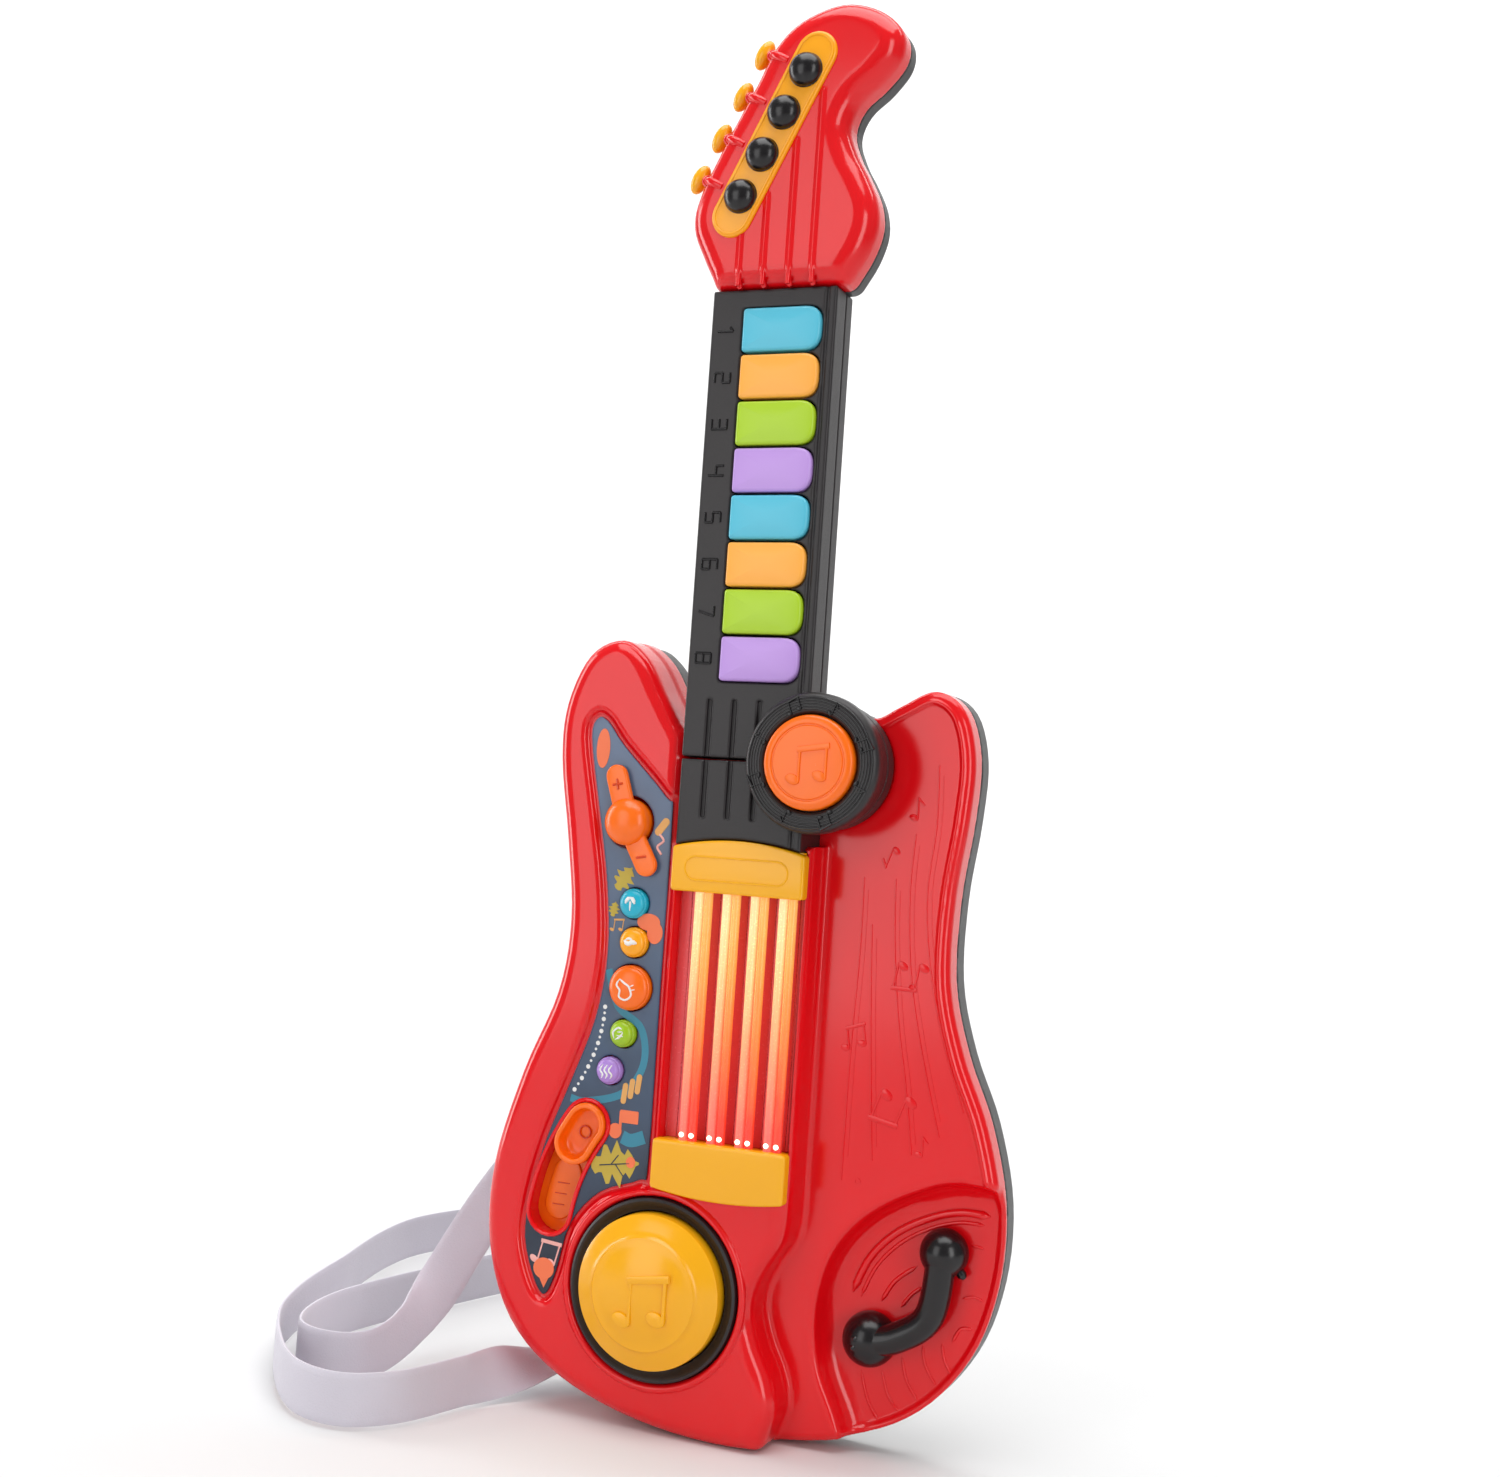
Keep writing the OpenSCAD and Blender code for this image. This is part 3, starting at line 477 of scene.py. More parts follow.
def arc_slot(a0, a1, half):
    """Outline of a stretch of the switch's curved slot, half wide on each side, between two angles."""
    end = math.degrees(SLOT_HALF / SLOT_R)
    angles = np.radians(np.linspace(a0 + end, a1 - end, 24))
    bend = np.linspace(0, math.pi, 12)[1:-1]
    far = polar(SLOT_R, angles[-1]) + polar(half, angles[-1] + bend)
    near = polar(SLOT_R, angles[0]) + polar(half, angles[0] + math.pi + bend)
    outer, inner = polar(SLOT_R + half, angles), polar(SLOT_R - half, angles[::-1])
    return np.concatenate([outer, far, inner, near]) + SLOT_C


# ---- shells from distance fields
class Block:
    """A grid of distances, negative inside the plastic, that becomes one piece."""

    def __init__(self, low, high, step):
        self.low, self.step = np.array(low, float), step
        axes = [np.arange(a, b + step, step) for a, b in zip(low, high)]
        self.x, self.y, self.t = (v.astype(np.float32) for v in np.ix_(*axes))
        self.shape = tuple(len(a) for a in axes)

    def outline(self, points):
        """Signed distance to a closed outline, on the plane."""
        x, y = np.broadcast_arrays(self.x[:, :, 0], self.y[:, :, 0])
        p = np.asarray(points, float)
        best, inside = np.full(x.shape, 1e9), np.zeros(x.shape, bool)
        for a, b in zip(p, np.roll(p, -1, 0)):
            d = b - a
            if d @ d < 1e-9:
                continue
            s = np.clip(((x - a[0]) * d[0] + (y - a[1]) * d[1]) / (d @ d), 0, 1)
            best = np.minimum(best, (x - a[0] - s * d[0]) ** 2 + (y - a[1] - s * d[1]) ** 2)
            crosses = (a[1] > y) != (b[1] > y)
            if crosses.any():
                inside ^= crosses & (x < a[0] + (y - a[1]) * d[0] / (d[1] if d[1] else 1e-9))
        return (np.where(inside, -1, 1) * np.sqrt(best)).astype(np.float32)[:, :, None]

    def disc(self, c, r):
        return np.hypot(self.x - c[0], self.y - c[1]) - r

    def piece(self, name, field, material, body, node):
        field = np.broadcast_to(field, self.shape)
        grid = openvdb.FloatGrid(float(self.step * 3))
        grid.copyFromArray(np.clip(field, -3 * self.step, 3 * self.step).astype(np.float32).copy())
        verts, faces = grid.convertToQuads(0.0)
        return make(name, place(verts * self.step + self.low), faces, material, body, node)


join, meet = np.minimum, np.maximum  # of two solids, given as distances


def smax(a, b, k):
    """The larger of two distances, blended over k: it rounds the corner of a cut."""
    h = np.maximum(k - np.abs(a - b), 0) / k
    return np.maximum(a, b) + h * h * k / 4


def rounded_edge(a, b, r):
    """Distance to where both distances are negative, with the edge between them rounded by r."""
    u, v = a + r, b + r
    return np.hypot(np.maximum(u, 0), np.maximum(v, 0)) + np.minimum(np.maximum(u, v), 0) - r


def cut(solid, hole, depth, k=0.0):
    """A solid less a hole as deep as depth says, with the edge of the cut blended over k."""
    tool = -meet(hole, depth)
    return smax(solid, tool, k) if k else meet(solid, tool)


def upright(d, t, low, high, r):
    """Distance to an upright shape of plane distance d, with its upper edge rounded by r."""
    return meet(rounded_edge(d, t - high, r), low - t)


def bead(d, t, at, height, r):
    """Distance to a bead that runs along the line where d is at, at this height."""
    return np.hypot(d - at, t - height) - r


BODY = curve(BODY_PTS, 5, True)
PANEL = curve(PANEL_PTS, 4, True)
STEP, FINE = ((0.6, 0.5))


def panel_holes(b, knob_r, gap):
    """Distance to the holes for the volume knob, the buttons and the switch."""
    holes = join(b.disc(KNOB, knob_r), b.outline(arc_slot(*SLOT_A, SLOT_HALF + gap)))
    for x, y, r in BUTTONS:
        holes = join(holes, b.disc((x, y), r + gap))
    return holes


def front_shell():
    b = Block((-135, -267, PLUG_T - 2), (80, 51, 47), STEP)
    t, body = b.t, b.outline(BODY)
    bed = b.outline([(-57.8, 70), (-57.8, STUB_LOW - 0.6), (-1.5, STUB_LOW - 0.6), *curve(WALL_PTS, 4),
                     (150, -270), (150, 70)])
    dish = b.outline([*curve(DISH_PTS, 4), (110, -275), (110, -158)])
    # the low right side, the raised left side, and the plug that fits in the back shell
    base = upright(body, t, SEAM_T + 0.1, BED_T, 3.5)
    raised = meet(upright(smax(body, -bed, 3), t, SEAM_T + 2, FACE_T, 7), body)
    shell = -smax(-base, -raised, 2.5)
    shell = join(shell, upright(body + 4.8, t, PLUG_T, 20, 1))
    # beads along the right side's edge and round the drum
    right = meet(6 - b.x, -158 - b.y)
    shell = join(shell, meet(bead(body, t, -4.2, BED_T - 0.2, 0.95), right))
    shell = join(shell, bead(b.disc(DRUM, 36), t, 1.6, FACE_T - 0.2, 1.5))
    # the dish with its lip, the panel's recess, then wells and holes
    lip = 1.6 * np.clip((body + 3.4) / 2, 0, 1)
    scoop = smax(dish, DISH_T + lip - t, 12)
    shell = smax(shell, -scoop, np.clip(t - DISH_T - 1, 0.6, 3))
    shell = smax(shell, -smax(b.outline(PANEL) - 1.6, PANEL_T - 1 - t, 1.2), 3.2)
    shell = cut(shell, b.outline(box_outline(*WELL, 1.5)), WELL_T - t, 0.8)
    shell = cut(shell, b.disc(DRUM, 35.8), 31.8 - t, 0.8)
    shell = cut(shell, panel_holes(b, 11, 0.6), CAVITY_T - t)
    shell = cut(shell, b.disc((0, 0), 24), BED_T - 1.5 - t)
    shell = cut(shell, b.disc(WHAMMY, 4), SEAM_T + 0.5 - t)
    b.piece("shell_front", shell, RED, "body", "front_shell")


def back_shell():
    b = Block((-135, -267, -1), (80, 51, SEAM_T + 2), STEP)
    t, body = b.t, b.outline(BODY)
    shell = meet(rounded_edge(body, -t, 2.5), t - (SEAM_T - 0.4))
    shell = join(shell, meet(body + 1.2, np.abs(t - SEAM_T) - 0.5))
    shell = cut(shell, body + 4.4, PLUG_T - 0.4 - t)
    for centre, turn in (((0, 0), -38), ((-66, -234), -64)):
        pocket = spun([(-13, -8), (13, -8), (13, 8), (-13, 8)], turn) + centre
        shell = cut(shell, b.outline(pocket), t - 7.5)
    for p in SCREWS:
        shell = cut(shell, b.disc(p, 3.1), t - 2.8)
    for k in range(6):
        for r in (5, 12):
            shell = cut(shell, b.disc(SPEAKER + polar(r, math.radians(60 * k + r)), 1.7), t - 3)
    shell = cut(shell, b.outline(box_outline(*DOOR)), t - 2.4)
    b.piece("shell_back", shell, BACK_GREY, "body", "back_shell")


def slits(b, solid, low, high, along):
    """Cuts the slits from low to high, and the thin groove where along is negative."""
    for x in SLITS_X:
        slit = b.outline(capsule((x, low), (x, high), SLIT))
        solid = cut(solid, slit, NECK_FACE - 1.4 - b.t, 0.5)
    groove = meet(np.abs(b.x - GROOVE_X) - 0.55, along)
    return cut(solid, groove, NECK_FACE - 1 - b.t, 0.4)


def neck_parts():
    b = Block((NECK_LEFT - 1, -28, NECK_BACK - 1), (26, NECK_LEN + 1, NECK_FACE + 2), FINE)
    t = b.t
    slab = b.outline(box_outline(NECK_LEFT, 0.5, NECK_RIGHT, NECK_LEN, 0.8))
    plan = join(slab, b.disc((0, 0), 25))
    face = upright(plan, t, NECK_SEAM + 0.15, NECK_FACE, 0.9)
    for i in range(8):
        face = cut(face, b.outline(key_outline(i, 0.45)), KEY_FLOOR_T - t, 0.5)
    face = slits(b, face, -8, 22.6, 27 - b.y)
    face = meet(face, -b.disc((0, 0), 12.1))
    b.piece("neck_face", face, BLACK, "neck", "neck_front")
    rear = meet(rounded_edge(plan, NECK_BACK - t, 1.2), t - (NECK_SEAM - 0.15))
    rear = meet(rear, -b.disc((0, 0), 12.1))
    rear = cut(rear, b.disc((0, 0), 21), t - NECK_BACK - 0.5)
    for x, y in ((-42, 14), (-30, 100), (-30, 176)):
        rear = cut(rear, b.disc((x, y), 1.7), t - 33)
    b.piece("neck_rear", rear, BLACK, "neck", "neck_back")
    core = box_outline(NECK_LEFT + 0.6, 27, NECK_RIGHT - 0.6, NECK_LEN - 1, 0.5)
    core = Lofts().pillow(core, NECK_SEAM - 1, NECK_SEAM + 1, 0.1)
    core.piece("neck_seam", BLACK, "neck")


def neck_stub():
    """The short end of the neck that stays on the body, between the pivot and the strings."""
    s = Block((NECK_LEFT - 1, STUB_LOW - 5, BED_T - 1), (NECK_RIGHT + 1, 1, NECK_FACE + 1), FINE)
    arch = np.array(block_arch()) + (0, 0.35)
    plan = [(NECK_RIGHT, -0.5), (NECK_LEFT, -0.5), *arch[::-1]]
    stub = upright(s.outline(plan), s.t, BED_T, NECK_FACE, 0.9)
    stub = meet(stub, -s.disc((0, 0), 25.6))
    stub = slits(s, stub, -22.6, 8, s.y + 26)
    s.piece("stub_shell", stub, BLACK, "body", "neck_stub")


def block_arch():
    """The upper edge of the upper string block, from right to left."""
    return [(x, STUB_LOW - 0.4 - 3.2 * ((x + 30.7) / 26.2) ** 2)
            for x in np.linspace(NECK_RIGHT, NECK_LEFT, 14)]


def key_outline(i, grow=0.0):
    """Outline of a key, counted from the top, or of its hole, which is larger by grow all round."""
    x, width, height = KEY_BOX
    y = KEY_TOP - height - i * KEY_PITCH
    return box_outline(x - grow, y - grow, x + width + grow, y + height + grow, (1.6, 7, 7, 1.6), 8)


def head_parts():
    b = Block((-72, NECK_LEN - 2, NECK_BACK - 1), (18, 302, HEAD_TOP + 2), FINE)
    t, head = b.t, b.outline(curve(HEAD_PTS, 5))
    head = smax(head, NECK_LEN + 0.2 - b.y, 3)
    front = upright(head, t, NECK_SEAM + 0.1, HEAD_TOP, 9)
    for x, reach in RIBS:
        rib = np.hypot(np.hypot(b.x - x, np.maximum(b.y - reach, 0)), t - HEAD_TOP + 0.5) - 1.0
        rib = meet(rib, NECK_LEN + 0.4 - b.y)
        front = -smax(-front, -rib, 0.8)
    b.piece("head_shell", front, RED, "neck", "head_front")
    back = meet(rounded_edge(head, NECK_BACK - t, 2.2), t - NECK_SEAM + 0.1)
    b.piece("head_rear", back, BACK_GREY, "neck", "head_back")
    beads = Lofts()
    for x, _ in RIBS:
        beads.tube([(x, NECK_LEN + y, t) for y, t in (
            (2.6, 44.4), (1.2, 45.6), (0.8, 47.4), (2.2, 49.0), (5.5, 49.6))], 1.15)
    beads.piece("head_rib_ends", RED, "neck")


def tuners():
    ends = (-18, 277.3), (-49.2, 214.5)
    plate = Lofts().pillow(capsule(*ends, 8.6, 20), HEAD_TOP - 1, HEAD_TOP + 1.6, 1.2)
    plate.add([level(capsule(*ends, r, 20), HEAD_TOP + t)
               for r, t in ((7.7, 1.5), (7.5, 1.9), (6.8, 1.9), (6.5, 1.5))])
    plate.piece("tuner_plate_amber", AMBER, "neck", "tuner_plate")
    domes, collars, pegs = Lofts(), Lofts(), Lofts()
    out, side = polar(1, np.radians([153, 243]))
    for i in range(4):
        arc = polar(1, np.linspace(0, math.pi / 2, 12)) * (6.7, 4.9) + (0, HEAD_TOP + 2.2)
        profile = [(6.9, HEAD_TOP + 1.4), (6.9, HEAD_TOP + 2), *arc]
        domes.turned((-21.5 - 8.03 * i, 270.3 - 16.2 * i), profile, 48)
        foot = np.array([-40.2 - 8.17 * i, 281 - 16.33 * i])
        pegs.tube(level([foot + out * s for s in (-5, -2, 1, 3)], 40), 2.0, 16)
        over = [(*(foot + out * s), t) for s, t in (
            (-11, 49), (-8, 49.3), (-5, 48.6), (-2.6, 46.8), (-1, 44), (-0.2, 40), (-0.2, 37))]
        collars.tube(curve(over, 4), 1.75, 14)
        collars.tube(curve(over[3:6], 3), (2.0, 2.3, 2.4, 2.4, 2.4, 2.3, 2.0), 14)
        rings = []
        for s in np.linspace(-1, 1, 11):
            w = math.sqrt(max(1 - s * s, 0.002))
            spine = foot + out * (4.6 + 3.4 * s)
            rings.append([(*(spine + side * u), 40 + v) for u, v in circle(6.2 * w, 28, 3.6 / 6.2)])
        pegs.add(rings)
    domes.piece("tuner_caps", BLACK_GLOSS, "neck", "tuner_domes")
    collars.piece("tuner_collars", RED, "neck")
    pegs.piece("tuner_knobs", YELLOW, "neck", "tuner_pegs")


def keys():
    for i in range(8):
        key = Lofts().pillow(key_outline(i), 41, NECK_FACE + 1.6, 1.5, crown=0.9, steps=5)
        key.piece(f"key_cap_{i + 1}", KEY_MATERIALS[i % 4], f"key_{i + 1}", f"key_{i + 1}")
    top, middle, low = (-0.3, 1, 0.3, 1), (-0.3, 0.5, 0.3, 0.5), (-0.3, 0, 0.3, 0)
    left, right = (-0.3, 1, -0.3, 0), (0.3, 1, 0.3, 0)
    left_up, right_low = (-0.3, 1, -0.3, 0.5), (0.3, 0.5, 0.3, 0)
    numerals = ([(0, 0, 0, 1), (0, 1, -0.25, 0.8)],
                [top, (0.3, 1, 0.3, 0.5), middle, (-0.3, 0.5, -0.3, 0), low],
                [top, middle, low, right],
                [left_up, middle, right],
                [top, left_up, middle, right_low, low],
                [top, left, middle, right_low, low],
                [top, (0.3, 1, 0, 0)],
                [top, left, middle, right, low])
    digits, size = Lofts(), 6.5
    for i, lines in enumerate(numerals):
        y = KEY_TOP - KEY_BOX[2] / 2 - i * KEY_PITCH
        for x0, y0, x1, y1 in lines:
            ends = [(-50.5 + size * (v - 0.5), y - size * u, NECK_FACE) for u, v in ((x0, y0), (x1, y1))]
            digits.tube(ends, 0.55, 8)
    digits.piece("neck_numerals", BLACK_GLOSS, "neck")


def hub():
    top, n = HUB_TOP, 128
    ring = Lofts().turned((0, 0), [(18.7, 46), (26.6, 46), (27, 46.6), (27, 51.4), (26.6, 52.6),
                                   (25.9, 53.4), (24.8, top), (20.2, top), (19.4, top - 0.3),
                                   (18.8, top - 1.2), (18.7, 48)], n)
    # the two flat ends are replaced by the wall of the hole between them
    ring.faces = ring.faces[:-2]
    last = len(ring.verts) - n
    ring.faces += [(k, (k + 1) % n, last + (k + 1) % n, last + k) for k in range(n)]
    ring.piece("hub_ring_black", BLACK, "neck", "hub_ring")
    marks = Lofts()
    for r in (20.6, 21.7, 22.8, 23.9, 25.0):
        marks.tube(level(polar(r, np.linspace(0, 2 * np.pi, 97)), top), 0.3, 6)
    for k in range(8):
        turn = 22 + 45 * k
        marks.note(polar(22.6, math.radians(turn)), 5.6, top, 0.7, turn - 90, k % 2 == 0)
    marks.piece("hub_staff", BLACK_GLOSS, "neck")
    button = Lofts().turned((0, 0), [(18.2, 51), (18.2, 54.6), (17.9, 55.6), (17.2, 56.2), (15.4, 56.6),
                                     (14.9, 56.5), (14.6, 56.1), (14.2, 56.1), (13.8, 56.6), (9, 56.95),
                                     (4, 57.05), (0.1, 57.1)])
    button.note((-0.6, -0.8), 14, 56.8, 0.8)
    button.piece("hub_cap", ORANGE, "hub_button", "hub_button")


def drum():
    ring = Lofts().turned(DRUM, [(35.6, 32), (35.6, 42.6), (35.2, 44.2), (34.2, 44.8), (33, 44.2),
                                 (32.2, 43.2), (30.6, 42.8), (30.5, 34), (0.1, 34)], 128)
    ring.piece("drum_ring_black", BLACK, "body", "drum_ring")
    half, rise = 30, 7.6  # the drum's skin is a slice of a ball, this wide to each side and high
    ball = (half ** 2 + rise ** 2) / (2 * rise)
    arc = polar(ball, np.linspace(math.acos(29.2 / ball), math.pi / 2 - 0.0005, 18)) + (0, 55.5 - ball)
    inner = [(r, t + 0.35) for r, t in arc if r < 21]
    step = [(22, inner[0][1] - 0.9), (21.4, inner[0][1] - 0.2)]
    arc = [p for p in arc if p[0] > 22.5] + step + inner
    dome = Lofts().turned(DRUM, [(29.6, 39), (29.9, 39.4), (29.9, 47), (29.7, 48), *arc], 128)
    dome.piece("drum_dome", YELLOW, "drum_button", "drum_button")
    Lofts().note((DRUM[0] - 0.4, DRUM[1] - 2), 19, 55.1, 0.9).piece("drum_mark", YELLOW, "drum_button")


def string_block(outline, foot_low, foot_high):
    """A yellow block over one end of the strings, on a foot that fills the well below it."""
    block = Lofts().pillow(rounded(outline, 1.6, 5), 42.5, 47.4, 1.1)
    return block.pillow(box_outline(WELL_X[0], foot_low, WELL_X[1], foot_high, 0.5), 36.2, 43, 0.2)


def strings():
    """The eight light rods in their well, and the blocks that hold their ends."""
    left, right = -57.4, -1.8
    arch = [(right, STUB_LOW - 4.4), *block_arch()[:-1], (left, STUB_LOW - 3.8)]
    upper = string_block([*arch, (left, -52.3), (right, -52.3)], -52, -34.2)
    rim = capsule((-47, -43), (-13, -43), 4.6, 16)
    upper.tube(level([*rim, rim[0]], 47.3), 0.45, 8)
    upper.piece("block_top", YELLOW, "body", "block_upper")
    # both rods of a pair are the same rod; the left one takes the paler, brighter copy of the glow, a
    # painted highlight
    rods = {RODS_PAINTED_HIGHLIGHT: Lofts(), RODS_AMBER: Lofts()}
    for x in STRING_X:
        for side, loft in zip((-1.95, 1.95), rods.values()):
            loft.tube([(x + side, -149.5, 42.3), (x + side, -51.5, 42.3)], 1.8, 24)
    for material, loft in rods.items():
        loft.piece("string_" + material.name, material, "body", "light_strings")
    bow = [(x, -170.2 + 2.6 * ((x + 29.6) / 28) ** 2) for x in np.linspace(left, right, 14)]
    lower = string_block([*bow, (right, -148.7), (left, -148.7)], -166.3, -149.2)
    lower.piece("block_bottom", YELLOW, "body", "block_lower")
    # the floor is red plastic; its paler pink colour is a painted reflection
    floor = Lofts().pillow(box_outline(WELL_X[0], -149, WELL_X[1], -52, 0.3), 36.05, 36.35, 0.1)
    for x in (-50.8, -38.6, -26.8, -15.0, -5.0):
        floor.pillow(box_outline(x - 1.1, -149, x + 1.1, -52, 0.4), 36.2, 37.8, 0.6)
    floor.piece("well_floor", WELL_RED_PAINTED_SHEEN, "body")
    lights = Lofts()
    for x in STRING_X:
        for s in (-1, 1):
            lights.turned((x + 2.05 * s, -146.5), [(1.0, 43.6), (1.0, 44.2), (0.7, 44.7), (0.1, 44.9)], 20)
    lights.piece("led_spots", LED, "body")


def volume():
    up, down = polar(19, np.radians([108, -60]))
    knob, top = Lofts(), PANEL_T + 3.4
    for way in (up, down):
        knob.pillow(capsule(KNOB + way * 0.3, KNOB + way, 4.6), top - 2, top, 0.9)
    knob.turned(KNOB, [(9.3, 39), (9.3, top + 0.2), (8.9, top + 1), (8, top + 2.2), (6.2, top + 3.6),
                       (3.6, top + 4.5), (0.1, top + 4.7)], 64)
    marks = Lofts()
    plus, minus = KNOB + up * 0.82, KNOB + down * 0.82
    for p, reach in ((plus, (2.1, 0.4)), (plus, (-0.4, 2.1)), (minus, (2.1, 0.4))):
        marks.tube(level([p - reach, p + reach], top), 0.5, 8)
    marks.piece("volume_marks", ORANGE_DEEP, "volume_rocker")
    knob.piece("volume_knob", ORANGE, "volume_rocker", "volume_rocker")


# the five printed icons: half width and points of each stroke, from the button's centre
ICONS = [[(0.4, [(0, -2.8), (0.2, 0), (0, 1)]),
          (0.8, [(-2, 0), (-1.2, 1.6), (0, 2.4)]), (0.8, [(2, 0), (1.2, 1.6), (0, 2.4)])],
         [(0.9, [(-2.6, 0.6), (-0.8, -0.5), (1, 0.2), (2.8, -0.2)]),
          (0.5, [(-2.2, 0.8), (-0.5, 1.6), (1.2, 0.8)])],
         [(0.42, [(-3, 3.4), (-4.2, 1), (-2.6, -1), (-2.8, -3.6), (0, -4.6), (2.4, -2.6), (1.4, 0.6),
                  (-0.8, 2), (-3, 3.4)]),
          (0.35, [(2.2, -0.6), (3.8, -0.2)]), (0.35, [(1.8, 0.8), (3.2, 1.6)])],
         [(0.4, [(-2.2, -1.8), (-2.6, 0.6), (-0.6, 2.4), (1, 2)]),
          (0.4, [(-1.6, -2.2), (0.6, -1), (1.6, 0.8)]),
          (0.35, [(-0.8, -0.6), (1.8, -0.8)]), (0.35, [(-0.6, 0.8), (1.4, 1)])],
         [(0.38, [(x, -2.8), (x + 0.7, -1.2), (x - 0.5, 0.4), (x + 0.5, 2.6)]) for x in (-1.9, 0, 1.9)]]


def sound_buttons():
    for i, (x, y, r) in enumerate(BUTTONS):
        rise, foot = 2 + r * 0.1, PANEL_T + 2
        arc = polar(1, np.linspace(0, math.pi / 2 - 0.02, 10)) * (r - 0.5, rise) + (0, foot)
        cap = Lofts().turned((x, y), [(r, foot - 6), (r, foot - 0.7), (r - 0.2, foot - 0.2), *arc], 48)
        body = f"sound_button_{i + 1}"
        cap.piece(f"button_cap_{i + 1}", (CYAN, AMBER, ORANGE, GREEN, PURPLE)[i], body, body)
        mark = Lofts()
        for half, stroke in ICONS[i]:
            line = curve(stroke, 5)
            lift = rise * np.sqrt(1 - np.sum(line ** 2, axis=1) / (r - 0.5) ** 2)
            mark.tube(np.column_stack([line + (x, y), foot + lift]), half * taper(line, 0.5), 8)
        mark.piece(f"button_mark_{i + 1}", CREAM, body)


def power_switch():
    track = Lofts().pillow(arc_slot(*SLOT_A, SLOT_HALF + 0.5), 33.5, 34.0, 0.2)
    track.pillow(arc_slot(156, 177, 6.2), 33.8, 35.0, 0.6)
    ticks = Lofts()
    for x, y in SLOT_C + polar(SLOT_R, np.radians([165, 168, 171])):
        ticks.tube([(x - 2.6, y, 35), (x + 2.6, y, 35)], 0.25, 6)
    ticks.piece("switch_ticks", ORANGE_DEEP, "body")
    track.piece("switch_track", ORANGE, "body", "slide_track")
    b = Block((-122, -184, 34), (-72, -128, 46), 0.4)
    outer = b.outline(arc_slot(SLOT_A[0], SLOT_A[0] + KNOB_A, SLOT_HALF - 0.5))
    knob = upright(outer, b.t, 35.5, FACE_T + 1.4, 1.3)
    knob = smax(knob, -smax(outer + 2.2, 37.4 - b.t, 4), 0.8)
    b.piece("switch_knob", knob, ORANGE, "power_slider", "power_slider")
    # a raised ring on the knob's floor in place of a word
    centre = SLOT_C + polar(SLOT_R, math.radians(SLOT_A[0] + KNOB_A / 2))
    mark = Lofts().tube(level(centre + polar(2.4, np.linspace(0, 2 * np.pi, 25)), 38), 0.35, 6)
    mark.piece("switch_mark", ORANGE_DEEP, "power_slider")
    outline = arc_slot(*SLOT_A, SLOT_HALF + 0.5)
    rim = Lofts().tube(level([*outline, outline[0]], PANEL_T + 0.4), 0.9, 8)
    rim.piece("slot_rim", RED, "body")


def whammy():
    arm = Lofts()
    route = curve([WHAMMY, (38.2, -215.8), (50.5, -205.5), WHAMMY_END], 8)
    arm.tube(level(route, 19.9), 5.8, 28)
    # the far ball swings clear of the dish's ridges
    for c, r, t, gap in ((WHAMMY, 10.6, 16, 0.4), (WHAMMY_END, 9.4, 17, 2.1)):
        start = math.asin((t - DISH_T - gap) / r)
        arm.turned(c, polar(r, np.linspace(-start, math.pi / 2 - 0.01, 24)) + (0, t), 56)
    x, y = WHAMMY_END
    arm.tube([(x + 4, y - 4, 16), (x + 7.5, y - 7.5, 16.5), (x + 8.2, y - 8.2, 16)], (2.0, 1.9, 1.2), 12)
    for dx, dy in ((-2.8, 1.5), (-3.4, -1.9)):
        arm.turned((WHAMMY[0] + dx, WHAMMY[1] + dy), [(1.1, 23), (1.1, 26), (0.66, 26.5), (0.1, 26.6)], 16)
    arm.turned(WHAMMY, [(3.6, 4.4), (3.6, 14)], 24)
    arm.piece("whammy_lever", BLACK_GLOSS, "whammy_bar", "whammy_bar")


